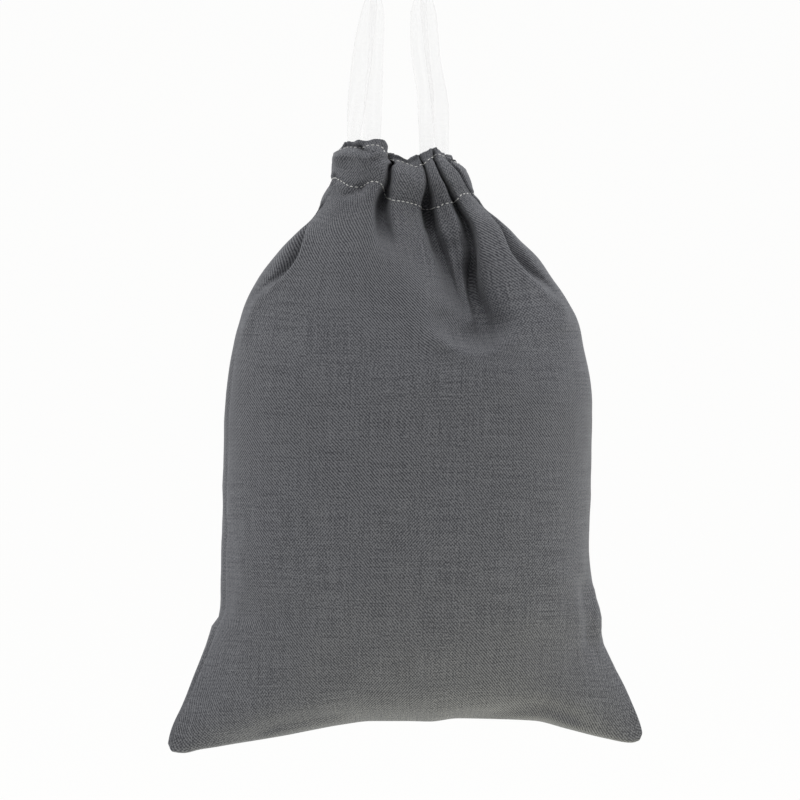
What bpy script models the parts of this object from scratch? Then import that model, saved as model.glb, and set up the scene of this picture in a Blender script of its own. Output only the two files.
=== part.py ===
"""A linen drawstring bag as it hangs from its two ribbons.

The bag is one length of linen, folded at the foot and sewn up both sides, with a casing at the mouth.
It is lofted from rings of points. A ring runs round the bag from the left side seam, across the front,
through the right side seam and back across the rear. Sizes are in millimetres until the meshes are made.
The origin is the point the two knots hang from, the front faces -Y, and Z is up.
"""

import math
from collections import namedtuple

import bmesh
import bpy
import numpy as np
from mathutils import Vector

for old in list(bpy.data.objects):
    bpy.data.objects.remove(old, do_unlink=True)

MM = 0.001

# Cloth
CLOTH = 1.2          # thickness of one layer of linen with its nap
CASING = 1.5         # thickness of the turned casing, pressed flat
LAYER_GAP = 0.4      # space between the front and rear layers where they lie together
EDGE_ROUND = 1.3     # rounding of the sewn sides and of the fold at the foot
RIM_RISE = 0.5       # rounding of the top edge

# Rings: columns round the neck, and half as many round the body
NECK_COLUMNS = 96
BODY_COLUMNS = 48

FOOT = -473.0        # nominal height of the fold at the foot
STITCH = -139.5      # nominal height of the stitch row at the casing's foot
MOUTH = -103.0       # nominal height of the top edge
SHIFT_ENDS = -205.0  # below this height rings lie level, whatever the casing does
PLAIN_BELOW = -330.0 # below this height no fold moves the columns
FOLDED_ABOVE = -240.0 # above this height the inner wall follows each fold at an even distance
FOLDED_BLEND = 20.0  # height over which it starts to
TURNED_BLEND = 8.0   # height over which one layer becomes the turned casing
FOOT_WALL = 14.0     # height over which the wall at the foot stands as thick as at the sides

# The outline at each height: how far the cloth reaches to the left and to the right
Side = namedtuple("Side", "height left right")
SIDES = [
    Side(-480.0, -144.6, 151.0),
    Side(-468.0, -142.0, 149.6),
    Side(-449.5, -133.9, 143.2),
    Side(-424.7, -124.0, 130.8),
    Side(-406.0, -116.8, 125.2),
    Side(-393.7, -111.6, 122.8),
    Side(-375.0, -111.4, 118.8),
    Side(-344.0, -110.4, 115.9),
    Side(-300.0, -109.6, 117.6),
    Side(-263.5, -107.9, 119.0),
    Side(-238.7, -105.2, 115.9),
    Side(-213.9, -99.8, 109.7),
    Side(-189.1, -88.7, 95.5),
    Side(-170.5, -75.0, 81.0),
    Side(-158.1, -61.8, 68.2),
    Side(-149.0, -52.6, 57.0),
    Side(-139.5, -49.0, 48.6),
    Side(-129.6, -43.8, 44.2),
    Side(-122.0, -42.6, 41.0),
    Side(-114.7, -41.6, 32.5),
    Side(-108.5, -39.0, 29.0),
    Side(-101.5, -37.2, 28.5),
]

# How far the cloth stands out to the front and the rear at each height, how square its ring is, and how
# sharp the ring is at the side seams: 0.5 is round, more is a flat ear
Depth = namedtuple("Depth", "height front rear square ear")
DEPTHS = [
    Depth(-473.0, 0.0, 0.0, 2.4, 1.35),
    Depth(-471.0, 9.0, 8.0, 2.4, 1.3),
    Depth(-466.0, 19.0, 18.0, 2.4, 1.25),
    Depth(-455.0, 32.0, 31.0, 2.4, 1.15),
    Depth(-440.0, 44.0, 43.0, 2.4, 1.05),
    Depth(-415.0, 57.0, 55.0, 2.4, 0.80),
    Depth(-390.0, 64.0, 62.0, 2.4, 0.58),
    Depth(-365.0, 68.0, 65.0, 2.45, 0.50),
    Depth(-320.0, 69.5, 67.0, 2.5, 0.50),
    Depth(-260.0, 68.0, 66.0, 2.45, 0.50),
    Depth(-226.0, 61.0, 60.0, 2.3, 0.50),
    Depth(-200.0, 52.0, 51.0, 2.2, 0.50),
    Depth(-176.0, 42.5, 42.0, 2.1, 0.50),
    Depth(-158.0, 35.0, 34.0, 2.1, 0.50),
    Depth(-147.0, 30.0, 30.0, 2.1, 0.50),
    Depth(-139.5, 27.5, 28.0, 2.1, 0.50),
    Depth(-131.0, 29.0, 29.0, 2.2, 0.50),
    Depth(-119.0, 28.0, 28.0, 2.2, 0.50),
    Depth(-112.0, 23.0, 23.5, 2.2, 0.50),
    Depth(-107.5, 19.5, 20.0, 2.2, 0.50),
    Depth(-103.0, 19.5, 20.0, 2.2, 0.50),
]

# The fold at the foot, at stations from the left corner, -1, to the right corner, 1
Foot = namedtuple("Foot", "station height")
FOOT_FOLD = [
    Foot(-1.00, -476.5),
    Foot(-0.93, -481.6),
    Foot(-0.80, -480.0),
    Foot(-0.62, -474.5),
    Foot(-0.40, -468.2),
    Foot(-0.15, -462.4),
    Foot(0.08, -462.2),
    Foot(0.25, -460.6),
    Foot(0.50, -461.8),
    Foot(0.68, -465.8),
    Foot(0.84, -471.8),
    Foot(0.95, -474.8),
    Foot(1.00, -470.5),
]
FOOT_FADES = 75.0    # height over which the rings above the fold become level

# The casing at each angle round the neck from the left seam: its stitch row and its top edge
Casing = namedtuple("Casing", "angle stitch top")
CASING_LINES = [
    Casing(0, -127.0, -104.5),
    Casing(30, -127.2, -101.7),
    Casing(58, -131.5, -101.9),
    Casing(76, -133.8, -102.0),
    Casing(86, -138.6, -104.4),
    Casing(94, -141.6, -109.8),
    Casing(104, -143.0, -111.6),
    Casing(110, -144.8, -113.6),
    Casing(118, -145.0, -112.0),
    Casing(130, -143.6, -109.0),
    Casing(145, -140.0, -106.6),
    Casing(158, -137.6, -109.8),
    Casing(170, -136.5, -113.8),
    Casing(180, -136.0, -116.0),
    Casing(192, -137.0, -115.6),
    Casing(207, -138.5, -112.5),
    Casing(230, -142.0, -109.5),
    Casing(255, -140.5, -112.5),
    Casing(280, -141.5, -110.0),
    Casing(305, -136.5, -113.0),
    Casing(335, -130.5, -106.5),
    Casing(360, -127.0, -104.5),
]

# Heights of the rings. Below the casing they are nominal heights; in it they are shares of its own height
BODY_RINGS = [-471.7, -468.5, -463, -455, -444, -430, -414, -398, -384, -362, -336, -306, -276, -252, -236]
NECK_RINGS = [-222, -208, -196, -186, -177, -168.5, -161, -154, -148, -143]
CASING_RINGS = [0.0, 0.14, 0.32, 0.52, 0.70, 0.84, 0.93, 1.0]

# Folds of the gathers. Each row is one height of the fold: where its valley lies across the bag, how deep
# it goes, half its opening, and how far its cloth reaches to each side of the valley along the ring
Fold = namedtuple("Fold", "height across depth opening before after")
FRONT_FOLDS = {
    "left_side": [
        Fold(-101.5, -34.0, 1.0, 1.2, 3.5, 3.5),
        Fold(-122.0, -39.8, 2.0, 1.4, 4.0, 4.0),
        Fold(-139.5, -46.0, 1.5, 2.0, 5.0, 5.0),
        Fold(-152.0, -54.5, 2.5, 3.0, 7.0, 6.0),
        Fold(-166.0, -64.0, 5.5, 3.5, 10.0, 7.0),
        Fold(-182.0, -72.5, 6.0, 4.0, 13.0, 8.0),
        Fold(-199.0, -86.0, 3.5, 5.0, 14.0, 9.0),
        Fold(-222.0, -97.0, 0.0, 6.0, 14.0, 12.0),
    ],
    "left_slit": [
        Fold(-101.5, -6.4, 10.0, 1.0, 4.2, 4.2),
        Fold(-114.7, -6.6, 15.0, 1.0, 4.4, 4.4),
        Fold(-129.6, -8.3, 17.0, 1.1, 4.5, 4.5),
        Fold(-139.5, -12.2, 16.0, 2.2, 5.5, 6.0),
        Fold(-147.0, -12.6, 10.0, 3.6, 8.0, 8.5),
        Fold(-158.0, -9.0, 4.0, 5.0, 11.0, 10.0),
        Fold(-178.0, -7.0, 0.0, 7.0, 15.0, 12.0),
    ],
    "middle_slit": [
        Fold(-101.5, 9.0, 7.5, 1.0, 4.2, 4.0),
        Fold(-114.7, 12.4, 11.0, 1.0, 4.4, 4.2),
        Fold(-129.6, 17.5, 13.5, 1.1, 4.5, 4.2),
        Fold(-143.0, 17.8, 14.0, 2.4, 6.0, 5.0),
        Fold(-156.0, 21.5, 11.0, 3.0, 8.0, 6.0),
        Fold(-172.0, 28.0, 6.5, 4.0, 11.0, 7.5),
        Fold(-188.0, 35.0, 3.0, 5.0, 13.0, 9.0),
        Fold(-208.0, 40.0, 0.0, 6.0, 14.0, 10.0),
    ],
    "right_slit": [
        Fold(-101.5, 20.0, 4.5, 1.0, 3.8, 3.4),
        Fold(-116.6, 23.6, 7.5, 1.0, 4.0, 4.0),
        Fold(-129.6, 28.6, 11.0, 1.1, 4.2, 4.6),
        Fold(-140.0, 32.6, 13.0, 1.6, 4.6, 5.5),
        Fold(-151.0, 38.0, 14.0, 2.2, 5.5, 7.0),
        Fold(-167.0, 45.0, 13.0, 3.0, 7.5, 9.0),
        Fold(-190.0, 48.5, 10.5, 5.0, 10.0, 14.0),
        Fold(-208.0, 52.5, 8.0, 9.0, 15.0, 20.0),
        Fold(-222.0, 55.5, 4.5, 12.0, 20.0, 24.0),
        Fold(-238.0, 57.0, -1.2, 12.0, 20.0, 22.0),
        Fold(-252.0, 58.0, 0.0, 12.0, 20.0, 22.0),
    ],
    "right_side": [
        Fold(-101.5, 25.8, 0.4, 1.0, 2.5, 2.5),
        Fold(-114.7, 30.0, 1.4, 1.2, 3.2, 3.2),
        Fold(-124.0, 38.4, 2.4, 1.3, 4.0, 4.0),
        Fold(-133.0, 42.8, 1.5, 1.6, 4.0, 4.0),
        Fold(-147.0, 53.0, 1.5, 2.4, 5.0, 5.0),
        Fold(-158.0, 63.0, 4.0, 3.0, 6.0, 9.0),
        Fold(-173.0, 73.0, 5.0, 3.5, 7.0, 12.0),
        Fold(-188.0, 85.5, 3.5, 4.5, 8.0, 13.0),
        Fold(-206.0, 96.0, 0.0, 6.0, 10.0, 14.0),
    ],
}
REAR_FOLDS = {
    "rear_right_side": [
        Fold(-101.5, 23.6, 0.6, 1.0, 2.8, 2.8),
        Fold(-120.0, 33.0, 3.0, 1.2, 4.0, 4.0),
        Fold(-139.5, 40.0, 6.0, 1.8, 5.0, 5.0),
        Fold(-160.0, 57.0, 4.5, 3.5, 8.0, 8.0),
        Fold(-196.0, 80.0, 0.0, 6.0, 12.0, 12.0),
    ],
    "rear_right_slit": [
        Fold(-101.5, 13.0, 6.5, 1.0, 4.0, 4.2),
        Fold(-120.0, 18.5, 11.0, 1.0, 4.4, 4.4),
        Fold(-139.5, 22.5, 14.0, 1.6, 5.0, 5.0),
        Fold(-158.0, 30.0, 11.0, 3.5, 9.0, 9.0),
        Fold(-185.0, 42.0, 5.5, 6.0, 15.0, 14.0),
        Fold(-222.0, 52.0, 0.0, 9.0, 20.0, 18.0),
    ],
    "rear_middle_slit": [
        Fold(-101.5, 0.5, 8.0, 1.0, 4.2, 4.2),
        Fold(-120.0, 3.0, 14.0, 1.0, 4.4, 4.4),
        Fold(-139.5, 5.5, 15.0, 1.8, 5.5, 5.5),
        Fold(-158.0, 3.0, 10.0, 4.0, 9.0, 10.0),
        Fold(-180.0, 0.0, 4.0, 6.0, 13.0, 14.0),
        Fold(-212.0, -2.0, 0.0, 8.0, 16.0, 16.0),
    ],
    "rear_left_slit": [
        Fold(-101.5, -13.0, 8.0, 1.0, 4.0, 4.2),
        Fold(-120.0, -13.0, 13.0, 1.0, 4.4, 4.4),
        Fold(-139.5, -15.5, 15.0, 1.6, 5.0, 5.0),
        Fold(-158.0, -22.0, 12.0, 3.2, 8.0, 9.0),
        Fold(-190.0, -35.0, 7.0, 6.0, 14.0, 15.0),
        Fold(-236.0, -46.0, 0.0, 10.0, 20.0, 20.0),
    ],
    "rear_left_side": [
        Fold(-101.5, -28.0, 3.0, 1.0, 3.2, 3.2),
        Fold(-120.0, -33.0, 7.0, 1.2, 4.2, 4.2),
        Fold(-139.5, -37.5, 6.0, 1.8, 5.0, 5.0),
        Fold(-160.0, -52.0, 4.0, 3.5, 8.0, 8.0),
        Fold(-194.0, -72.0, 0.0, 6.0, 12.0, 12.0),
    ],
}
# How each fold is laid: the column that its valley follows, and how straight to the rear it goes, where 0
# goes square to the cloth
Gather = namedtuple("Gather", "name column straight")
GATHERS = [
    Gather("left_side", 6, 0.0),
    Gather("left_slit", 16, 0.8),
    Gather("middle_slit", 26, 0.8),
    Gather("right_slit", 34, 0.8),
    Gather("right_side", 42, 0.0),
    Gather("rear_right_side", 54, 0.2),
    Gather("rear_right_slit", 62, 0.7),
    Gather("rear_middle_slit", 70, 0.8),
    Gather("rear_left_slit", 80, 0.7),
    Gather("rear_left_side", 90, 0.2),
]
FOLD_HALF = 3        # columns on each side of a valley
FOLD_SETTLES = 70.0  # height over which a fold's columns spread out again below it
FACE_LEAST = 0.05    # least angle between one fold and the next
COLUMN_STEP = 2 * math.pi / NECK_COLUMNS

# Ribbons: 15 mm organza, drawn taut. A row is one height of a strand: its middle across and to the rear,
# its width there, and the angle its face is turned by
RIBBON = 1.0
Strand = namedtuple("Strand", "height across back width turn")
STRANDS = {
    "ribbon_left": [
        [
            Strand(-122.0, -29.4, -11.6, 9.0, -36),
            Strand(-104.0, -28.8, -9.2, 9.5, -32),
            Strand(-80.0, -26.6, -4.4, 12.0, -12),
            Strand(-50.0, -23.4, 0.2, 12.5, 12),
            Strand(-26.0, -19.8, 2.2, 9.0, 8),
            Strand(-12.0, -17.4, 1.8, 5.0, 0),
        ],
        [
            Strand(-122.0, -18.4, -19.4, 10.0, -12),
            Strand(-104.0, -17.4, -14.4, 11.0, -14),
            Strand(-80.0, -16.6, -11.4, 12.0, -22),
            Strand(-50.0, -15.4, -7.4, 10.5, -26),
            Strand(-26.0, -14.6, -4.0, 8.0, -10),
            Strand(-12.0, -14.8, -1.8, 5.0, 0),
        ],
    ],
    "ribbon_right": [
        [
            Strand(-122.0, 16.0, -4.4, 8.0, 2),
            Strand(-104.0, 16.4, -5.2, 9.0, 4),
            Strand(-80.0, 15.8, -6.2, 11.0, 20),
            Strand(-50.0, 12.6, -5.4, 11.5, 10),
            Strand(-26.0, 12.2, -3.6, 9.0, 4),
            Strand(-12.0, 13.8, -1.8, 5.0, 0),
        ],
        [
            Strand(-126.0, 33.2, -0.6, 7.4, 80),
            Strand(-112.0, 26.6, -0.8, 8.0, 20),
            Strand(-80.0, 24.6, 2.4, 11.0, -8),
            Strand(-50.0, 20.0, 3.4, 10.0, -22),
            Strand(-26.0, 17.0, 3.2, 8.0, -10),
            Strand(-12.0, 15.4, 1.8, 5.0, 0),
        ],
    ],
}
STRAND_RINGS = 26
KNOTS = {"ribbon_left": -16.0, "ribbon_right": 14.5}
KNOT_HEIGHT = -7.0
KNOT_SIZE = (7.0, 5.0, 6.0)
TAIL_SIZE = (4.0, 1.0, 9.0)
Tail = namedtuple("Tail", "name across back above turn")
TAILS = [
    Tail("tail_front", -2.6, -0.9, 6.0, -24),
    Tail("tail_back", 2.6, 0.9, 6.0, 18),
]

LINEN_COLOUR = (0.105, 0.108, 0.118, 1)
ORGANZA_COLOUR = (0.86, 0.86, 0.87, 1)


def smooth(share):
    """A rise from 0 to 1 that starts and ends level."""
    share = np.clip(share, 0.0, 1.0)
    return share * share * (3 - 2 * share)


def curve(rows, key, column, at):
    """One column of a table as a smooth curve over its key, with no overshoot between rows."""
    order = sorted(rows, key=lambda row: getattr(row, key))
    x = np.array([getattr(row, key) for row in order], float)
    y = np.array([getattr(row, column) for row in order], float)
    step = np.diff(x)
    slope = np.diff(y) / step
    tangent = np.zeros(len(x))
    agree = slope[:-1] * slope[1:] > 0
    weights = 2 * slope[:-1] * slope[1:]
    tangent[1:-1][agree] = weights[agree] / (slope[:-1] + slope[1:])[agree]
    tangent[0], tangent[-1] = slope[0], slope[-1]
    at = np.clip(np.asarray(at, float), x[0], x[-1])
    i = np.clip(np.searchsorted(x, at, side="right") - 1, 0, len(step) - 1)
    s = (at - x[i]) / step[i]
    start = (1 + 2 * s) * (1 - s) ** 2 * y[i] + s * (1 - s) ** 2 * step[i] * tangent[i]
    end = s * s * (3 - 2 * s) * y[i + 1] + s * s * (s - 1) * step[i] * tangent[i + 1]
    return start + end


def half_width(height):
    """The middle and the half width of the bag at a height."""
    left = curve(SIDES, "height", "left", height)
    right = curve(SIDES, "height", "right", height)
    return (left + right) / 2, (right - left) / 2


def foot_at(station):
    return curve(FOOT_FOLD, "station", "height", station)


def fold_angle(rows, rear, height):
    """Where a fold's valley lies round the ring at a height, as an angle."""
    middle, half = half_width(height)
    across = curve(rows, "height", "across", height)
    angle = np.arccos(np.clip(-(across - middle) / half, -0.995, 0.995))
    return 2 * math.pi - angle if rear else angle


def ring_plan(height, nominal):
    """The columns' angles round one ring of the neck, how far each is drawn in, and how straight."""
    _, half = half_width(height)
    front = curve(DEPTHS, "height", "front", nominal)
    valleys = []
    for gather in GATHERS:
        rear = gather.name in REAR_FOLDS
        rows = REAR_FOLDS[gather.name] if rear else FRONT_FOLDS[gather.name]
        lowest = min(row.height for row in rows)
        angle = float(fold_angle(rows, rear, max(height, lowest)))
        speed = math.hypot(half * math.sin(angle), front * math.cos(angle))
        before, after, opening = (
            float(curve(rows, "height", size, height)) / speed for size in ("before", "after", "opening")
        )
        settle = float(smooth((lowest - height) / FOLD_SETTLES))
        angle += (gather.column * COLUMN_STEP - angle) * settle
        before += (FOLD_HALF * COLUMN_STEP - before) * settle
        after += (FOLD_HALF * COLUMN_STEP - after) * settle
        depth = float(curve(rows, "height", "depth", height)) * (height > lowest)
        valleys.append([gather.column, angle, before, after, opening, depth, gather.straight])
    keep_apart(valleys)
    knots = [(0.0, 0.0)]
    for column, angle, before, after, *_ in valleys:
        knots += [(column - FOLD_HALF, angle - before), (column + FOLD_HALF, angle + after)]
    knots.append((float(NECK_COLUMNS), 2 * math.pi))
    angles = np.interp(np.arange(NECK_COLUMNS), *zip(*knots))
    inward = np.zeros(NECK_COLUMNS)
    straight = np.zeros(NECK_COLUMNS)
    for column, angle, before, after, opening, depth, straightness in valleys:
        for step in range(-FOLD_HALF, FOLD_HALF + 1):
            reach = before if step < 0 else after
            share = abs(step) / FOLD_HALF
            gap = min(opening, reach / 2)
            away = gap * (1 - (1 - share) ** 4) + (reach - gap) * share**5
            angles[column + step] = angle + math.copysign(away, step)
            inward[column + step] = depth * (1 - share) ** 2 * (1 + 2 * share)
            straight[column + step] = straightness
    return angles, inward, straight


def keep_apart(valleys):
    """Narrows folds that would run into each other or past a side seam."""
    for low, high in zip(valleys, valleys[1:]):
        space = high[1] - low[1] - FACE_LEAST
        narrower = min(1.0, space / (low[3] + high[2]))
        low[3] *= narrower
        high[2] *= narrower
    valleys[0][2] = min(valleys[0][2], valleys[0][1] - FACE_LEAST)
    valleys[-1][3] = min(valleys[-1][3], 2 * math.pi - FACE_LEAST - valleys[-1][1])


def column_heights(angles, nominal, casing_share):
    """The height of each column of one ring, from where the column stands round the bag."""
    degrees = np.degrees(angles)
    stitch = curve(CASING_LINES, "angle", "stitch", degrees)
    if casing_share is not None:
        top = curve(CASING_LINES, "angle", "top", degrees)
        return stitch + (top - stitch) * casing_share
    raised = 1 - smooth((STITCH - nominal) / (STITCH - SHIFT_ENDS))
    lifted = 1 - smooth((nominal - FOOT) / FOOT_FADES)
    return nominal + (stitch - STITCH) * raised + lifted * (foot_at(-np.cos(angles)) - FOOT)


def ring(nominal, casing_share=None):
    """One ring of the bag: its columns' angles and heights, how far each is drawn in, and how straight."""
    level = nominal if casing_share is None else STITCH + (MOUTH - STITCH) * casing_share
    even = np.arange(NECK_COLUMNS) * COLUMN_STEP
    plan = np.array([even, np.zeros(NECK_COLUMNS), np.zeros(NECK_COLUMNS)])
    if level < PLAIN_BELOW:
        return plan[0], column_heights(even, nominal, casing_share), plan[1], plan[2], level
    plan = np.array(ring_plan(level, level))
    height = column_heights(plan[0], nominal, casing_share)
    for at in np.unique(np.round(height)):
        here = np.round(height) == at
        plan[:, here] = np.array(ring_plan(at, level))[:, here]
    return plan[0], height, plan[1], plan[2], level


def outline(angles, height, level, wall):
    """Points of a ring before its folds, drawn in by a wall. The outer face has no wall."""
    middle, half = half_width(height)
    x = middle - (half - wall) * np.cos(angles)
    front = curve(DEPTHS, "height", "front", level)
    rear = curve(DEPTHS, "height", "rear", level)
    square = curve(DEPTHS, "height", "square", level)
    ear = curve(DEPTHS, "height", "ear", level)
    bulge = np.clip(1 - np.abs(np.cos(angles)) ** square, 0, 1) ** ear
    edge = np.clip((1 - np.abs(np.cos(angles))) * half / EDGE_ROUND, 0, 1)
    layers = (LAYER_GAP / 2 + CLOTH - wall) * np.sqrt(1 - (1 - edge) ** 2)
    facing = np.sin(angles)
    depth = np.where(facing > 0, front, rear)
    side = np.where(np.abs(facing) < 1e-6, 0.0, np.sign(facing))
    return np.column_stack([x, -side * (depth * bulge + layers), height])


def outward(points):
    """The outward direction at each point of a closed ring, level with the ring."""
    along = np.roll(points, -1, axis=0)[:, :2] - np.roll(points, 1, axis=0)[:, :2]
    along /= np.linalg.norm(along, axis=1)[:, None]
    return np.column_stack([along[:, 1], -along[:, 0], np.zeros(len(along))])


def bag_rings():
    """The outer and the inner ring at every height, from the foot to the top edge."""
    outer, inner = [], []
    heights = [(nominal, None) for nominal in BODY_RINGS + NECK_RINGS]
    heights += [(STITCH, share) for share in CASING_RINGS]
    for nominal, share in heights:
        angles, height, inward, straight, level = ring(nominal, share)
        outside = outline(angles, height, level, 0.0)
        into = -outward(outside)
        into[:, 0] *= 1 - straight
        into /= np.linalg.norm(into, axis=1)[:, None]
        outside += into * inward[:, None]
        turned = smooth((level - STITCH) / TURNED_BLEND + 0.5)
        thickness = CLOTH + (CASING - CLOTH) * turned
        low = 1 - smooth((level - FOOT) / FOOT_WALL)
        plain = outline(angles, height + CLOTH * low, level, CLOTH)
        away = outward(outside)
        away = np.roll(away, 1, axis=0) + 2 * away + np.roll(away, -1, axis=0)
        offset = outside - away * thickness / np.linalg.norm(away, axis=1)[:, None]
        folded = smooth((level - FOLDED_ABOVE) / FOLDED_BLEND)
        outer.append(outside)
        inner.append(plain * (1 - folded) + offset * folded)
    halved = len(BODY_RINGS)
    step = NECK_COLUMNS // BODY_COLUMNS
    outer[:halved] = [points[::step] for points in outer[:halved]]
    inner[:halved] = [points[::step] for points in inner[:halved]]
    return outer, inner


def foot_line(wall):
    """The line of the fold at the foot, from the left corner to the right one."""
    stations = -np.cos(np.arange(BODY_COLUMNS // 2 + 1) * 2 * math.pi / BODY_COLUMNS)
    height = foot_at(stations)
    middle, half = half_width(height)
    return np.column_stack([middle + (half - wall) * stations, np.zeros(len(stations)), height + wall])


def add_wall(mesh, rings, line, flip):
    """Skins a stack of rings, closed along the fold at its foot. Returns the top ring."""

    def face(*corners):
        mesh.faces.new(corners[::-1] if flip else corners)

    stack = [[mesh.verts.new(Vector(point) * MM) for point in points] for points in rings]
    fold = [mesh.verts.new(Vector(point) * MM) for point in line]
    lowest = stack[0]
    count = len(lowest)
    for i in range(count // 2):
        face(fold[i], fold[i + 1], lowest[i + 1], lowest[i])
        face(fold[i + 1], fold[i], lowest[(count - i) % count], lowest[count - i - 1])
    for low, high in zip(stack, stack[1:]):
        count = len(low)
        if len(high) == count:
            for i in range(count):
                face(low[i], low[(i + 1) % count], high[(i + 1) % count], high[i])
            continue
        for i in range(count):
            after = (i + 1) % count
            left, middle, right = high[2 * i], high[2 * i + 1], high[2 * after]
            face(low[i], middle, left)
            face(low[i], low[after], middle)
            face(low[after], right, middle)
    return stack[-1]


def finish(mesh, name, material):
    """Makes an object of a mesh, shaded smooth."""
    data = bpy.data.meshes.new(name)
    mesh.to_mesh(data)
    mesh.free()
    data.materials.append(material)
    data.shade_smooth()
    item = bpy.data.objects.new(name, data)
    bpy.context.scene.collection.objects.link(item)
    return item


def make_material(name, colour, roughness, alpha=1.0):
    material = bpy.data.materials.new(name)
    material.use_nodes = True
    shader = material.node_tree.nodes["Principled BSDF"]
    shader.inputs["Base Color"].default_value = colour
    shader.inputs["Roughness"].default_value = roughness
    shader.inputs["Metallic"].default_value = 0.0
    shader.inputs["Alpha"].default_value = alpha
    return material


def make_bag():
    """The cloth: an outer and an inner wall, joined round the top edge by a rounded rim."""
    outer, inner = bag_rings()
    mesh = bmesh.new()
    top_outer = add_wall(mesh, outer, foot_line(0.0), flip=False)
    top_inner = add_wall(mesh, inner, foot_line(CLOTH), flip=True)
    rim = (outer[-1] + inner[-1]) / 2 + np.array([0, 0, RIM_RISE])
    top_rim = [mesh.verts.new(Vector(point) * MM) for point in rim]
    for low, high in ((top_outer, top_rim), (top_rim, top_inner)):
        for i in range(NECK_COLUMNS):
            after = (i + 1) % NECK_COLUMNS
            mesh.faces.new((low[i], low[after], high[after], high[i]))
    return finish(mesh, "bag_cloth", make_material("linen", LINEN_COLOUR, 0.9))


def make_strand(rows, name):
    """One taut strand of ribbon: a thin strip swept up its route, turned and narrowed as it gathers."""
    mesh = bmesh.new()
    rings = []
    for height in np.linspace(rows[0].height, rows[-1].height, STRAND_RINGS):
        across, back, width, turn = (
            float(curve(rows, "height", column, height)) for column in ("across", "back", "width", "turn")
        )
        along = Vector((math.cos(math.radians(turn)), math.sin(math.radians(turn)), 0))
        through = Vector((-along.y, along.x, 0))
        middle = Vector((across, back, height))
        corners = ((-0.5, -0.5), (0.5, -0.5), (0.5, 0.5), (-0.5, 0.5))
        rings.append([mesh.verts.new((middle + along * u * width + through * v * RIBBON) * MM)
                      for u, v in corners])
    mesh.faces.new(rings[0][::-1])
    mesh.faces.new(rings[-1])
    for low, high in zip(rings, rings[1:]):
        for i in range(4):
            after = (i + 1) % 4
            mesh.faces.new((low[i], low[after], high[after], high[i]))
    return finish(mesh, name, None)


def make_block(name, place, size, turn):
    """One of the knot's two short tails."""
    mesh = bmesh.new()
    bmesh.ops.create_cube(mesh, size=1.0)
    for vert in mesh.verts:
        vert.co = Vector(np.array(vert.co) * size) * MM
    item = finish(mesh, name, None)
    item.location = Vector(place) * MM
    item.rotation_euler = (0, math.radians(turn), 0)
    return item


def join(body, others):
    """Unites helper shapes with a body, and hides the helpers."""
    for other in others:
        cut = body.modifiers.new(other.name, "BOOLEAN")
        cut.operation = "UNION"
        cut.object = other
        other.hide_render = True
        other.display_type = "WIRE"


def make_ribbon(name, material):
    """One ribbon: its two strands out of the casing, the knot that ties their ends, and its tails."""
    first, second = STRANDS[name]
    knot_mesh = bmesh.new()
    bmesh.ops.create_uvsphere(knot_mesh, u_segments=14, v_segments=9, radius=1.0)
    for vert in knot_mesh.verts:
        vert.co = Vector(np.array(vert.co) * KNOT_SIZE) * MM
    ribbon = finish(knot_mesh, name, material)
    ribbon.location = Vector((KNOTS[name], 0, KNOT_HEIGHT)) * MM
    helpers = [make_strand(rows, f"{name}_strand_{i}") for i, rows in enumerate((first, second))]
    for tail in TAILS:
        place = (KNOTS[name] + tail.across, tail.back, KNOT_HEIGHT + tail.above)
        helpers.append(make_block(f"{name}_{tail.name}", place, TAIL_SIZE, tail.turn))
    join(ribbon, helpers)
    return ribbon


make_bag()
organza = make_material("organza", ORGANZA_COLOUR, 0.5, alpha=0.6)
for ribbon_name in STRANDS:
    make_ribbon(ribbon_name, organza)
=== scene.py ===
import math
from collections import namedtuple
from types import SimpleNamespace

import bpy
import numpy as np
from mathutils import Matrix, Vector, noise


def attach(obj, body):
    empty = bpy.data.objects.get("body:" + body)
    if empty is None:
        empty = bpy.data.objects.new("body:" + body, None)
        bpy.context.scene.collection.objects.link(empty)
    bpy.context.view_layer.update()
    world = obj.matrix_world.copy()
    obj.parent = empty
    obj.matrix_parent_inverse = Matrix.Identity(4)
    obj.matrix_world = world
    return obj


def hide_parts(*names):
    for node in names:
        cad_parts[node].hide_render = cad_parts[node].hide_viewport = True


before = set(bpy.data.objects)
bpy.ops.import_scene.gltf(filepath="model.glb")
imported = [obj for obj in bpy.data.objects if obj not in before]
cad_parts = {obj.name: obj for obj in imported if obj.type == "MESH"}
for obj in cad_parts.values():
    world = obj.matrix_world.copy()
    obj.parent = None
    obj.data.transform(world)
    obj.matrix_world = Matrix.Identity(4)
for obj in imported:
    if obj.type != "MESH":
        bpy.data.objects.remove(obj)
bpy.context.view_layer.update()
MM = 0.001


# Camera
# It stands 2.2 m in front of the bag and looks straight at it, level with the middle of the picture.
EYE = Vector((0.0, -2200.0, -263.5)) * MM
PICTURE_WIDTH = 496.0 * MM   # what the picture takes in at the bag
SENSOR = 36.0
camera_data = bpy.data.cameras.new("camera")
camera_data.sensor_width = SENSOR
camera_data.lens = SENSOR * -EYE.y / PICTURE_WIDTH
camera = bpy.data.objects.new("camera", camera_data)
camera.location = EYE
camera.rotation_euler = (math.pi / 2, 0, 0)
bpy.context.scene.collection.objects.link(camera)
bpy.context.scene.camera = camera
bpy.context.scene.view_settings.view_transform = "Standard"


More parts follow.
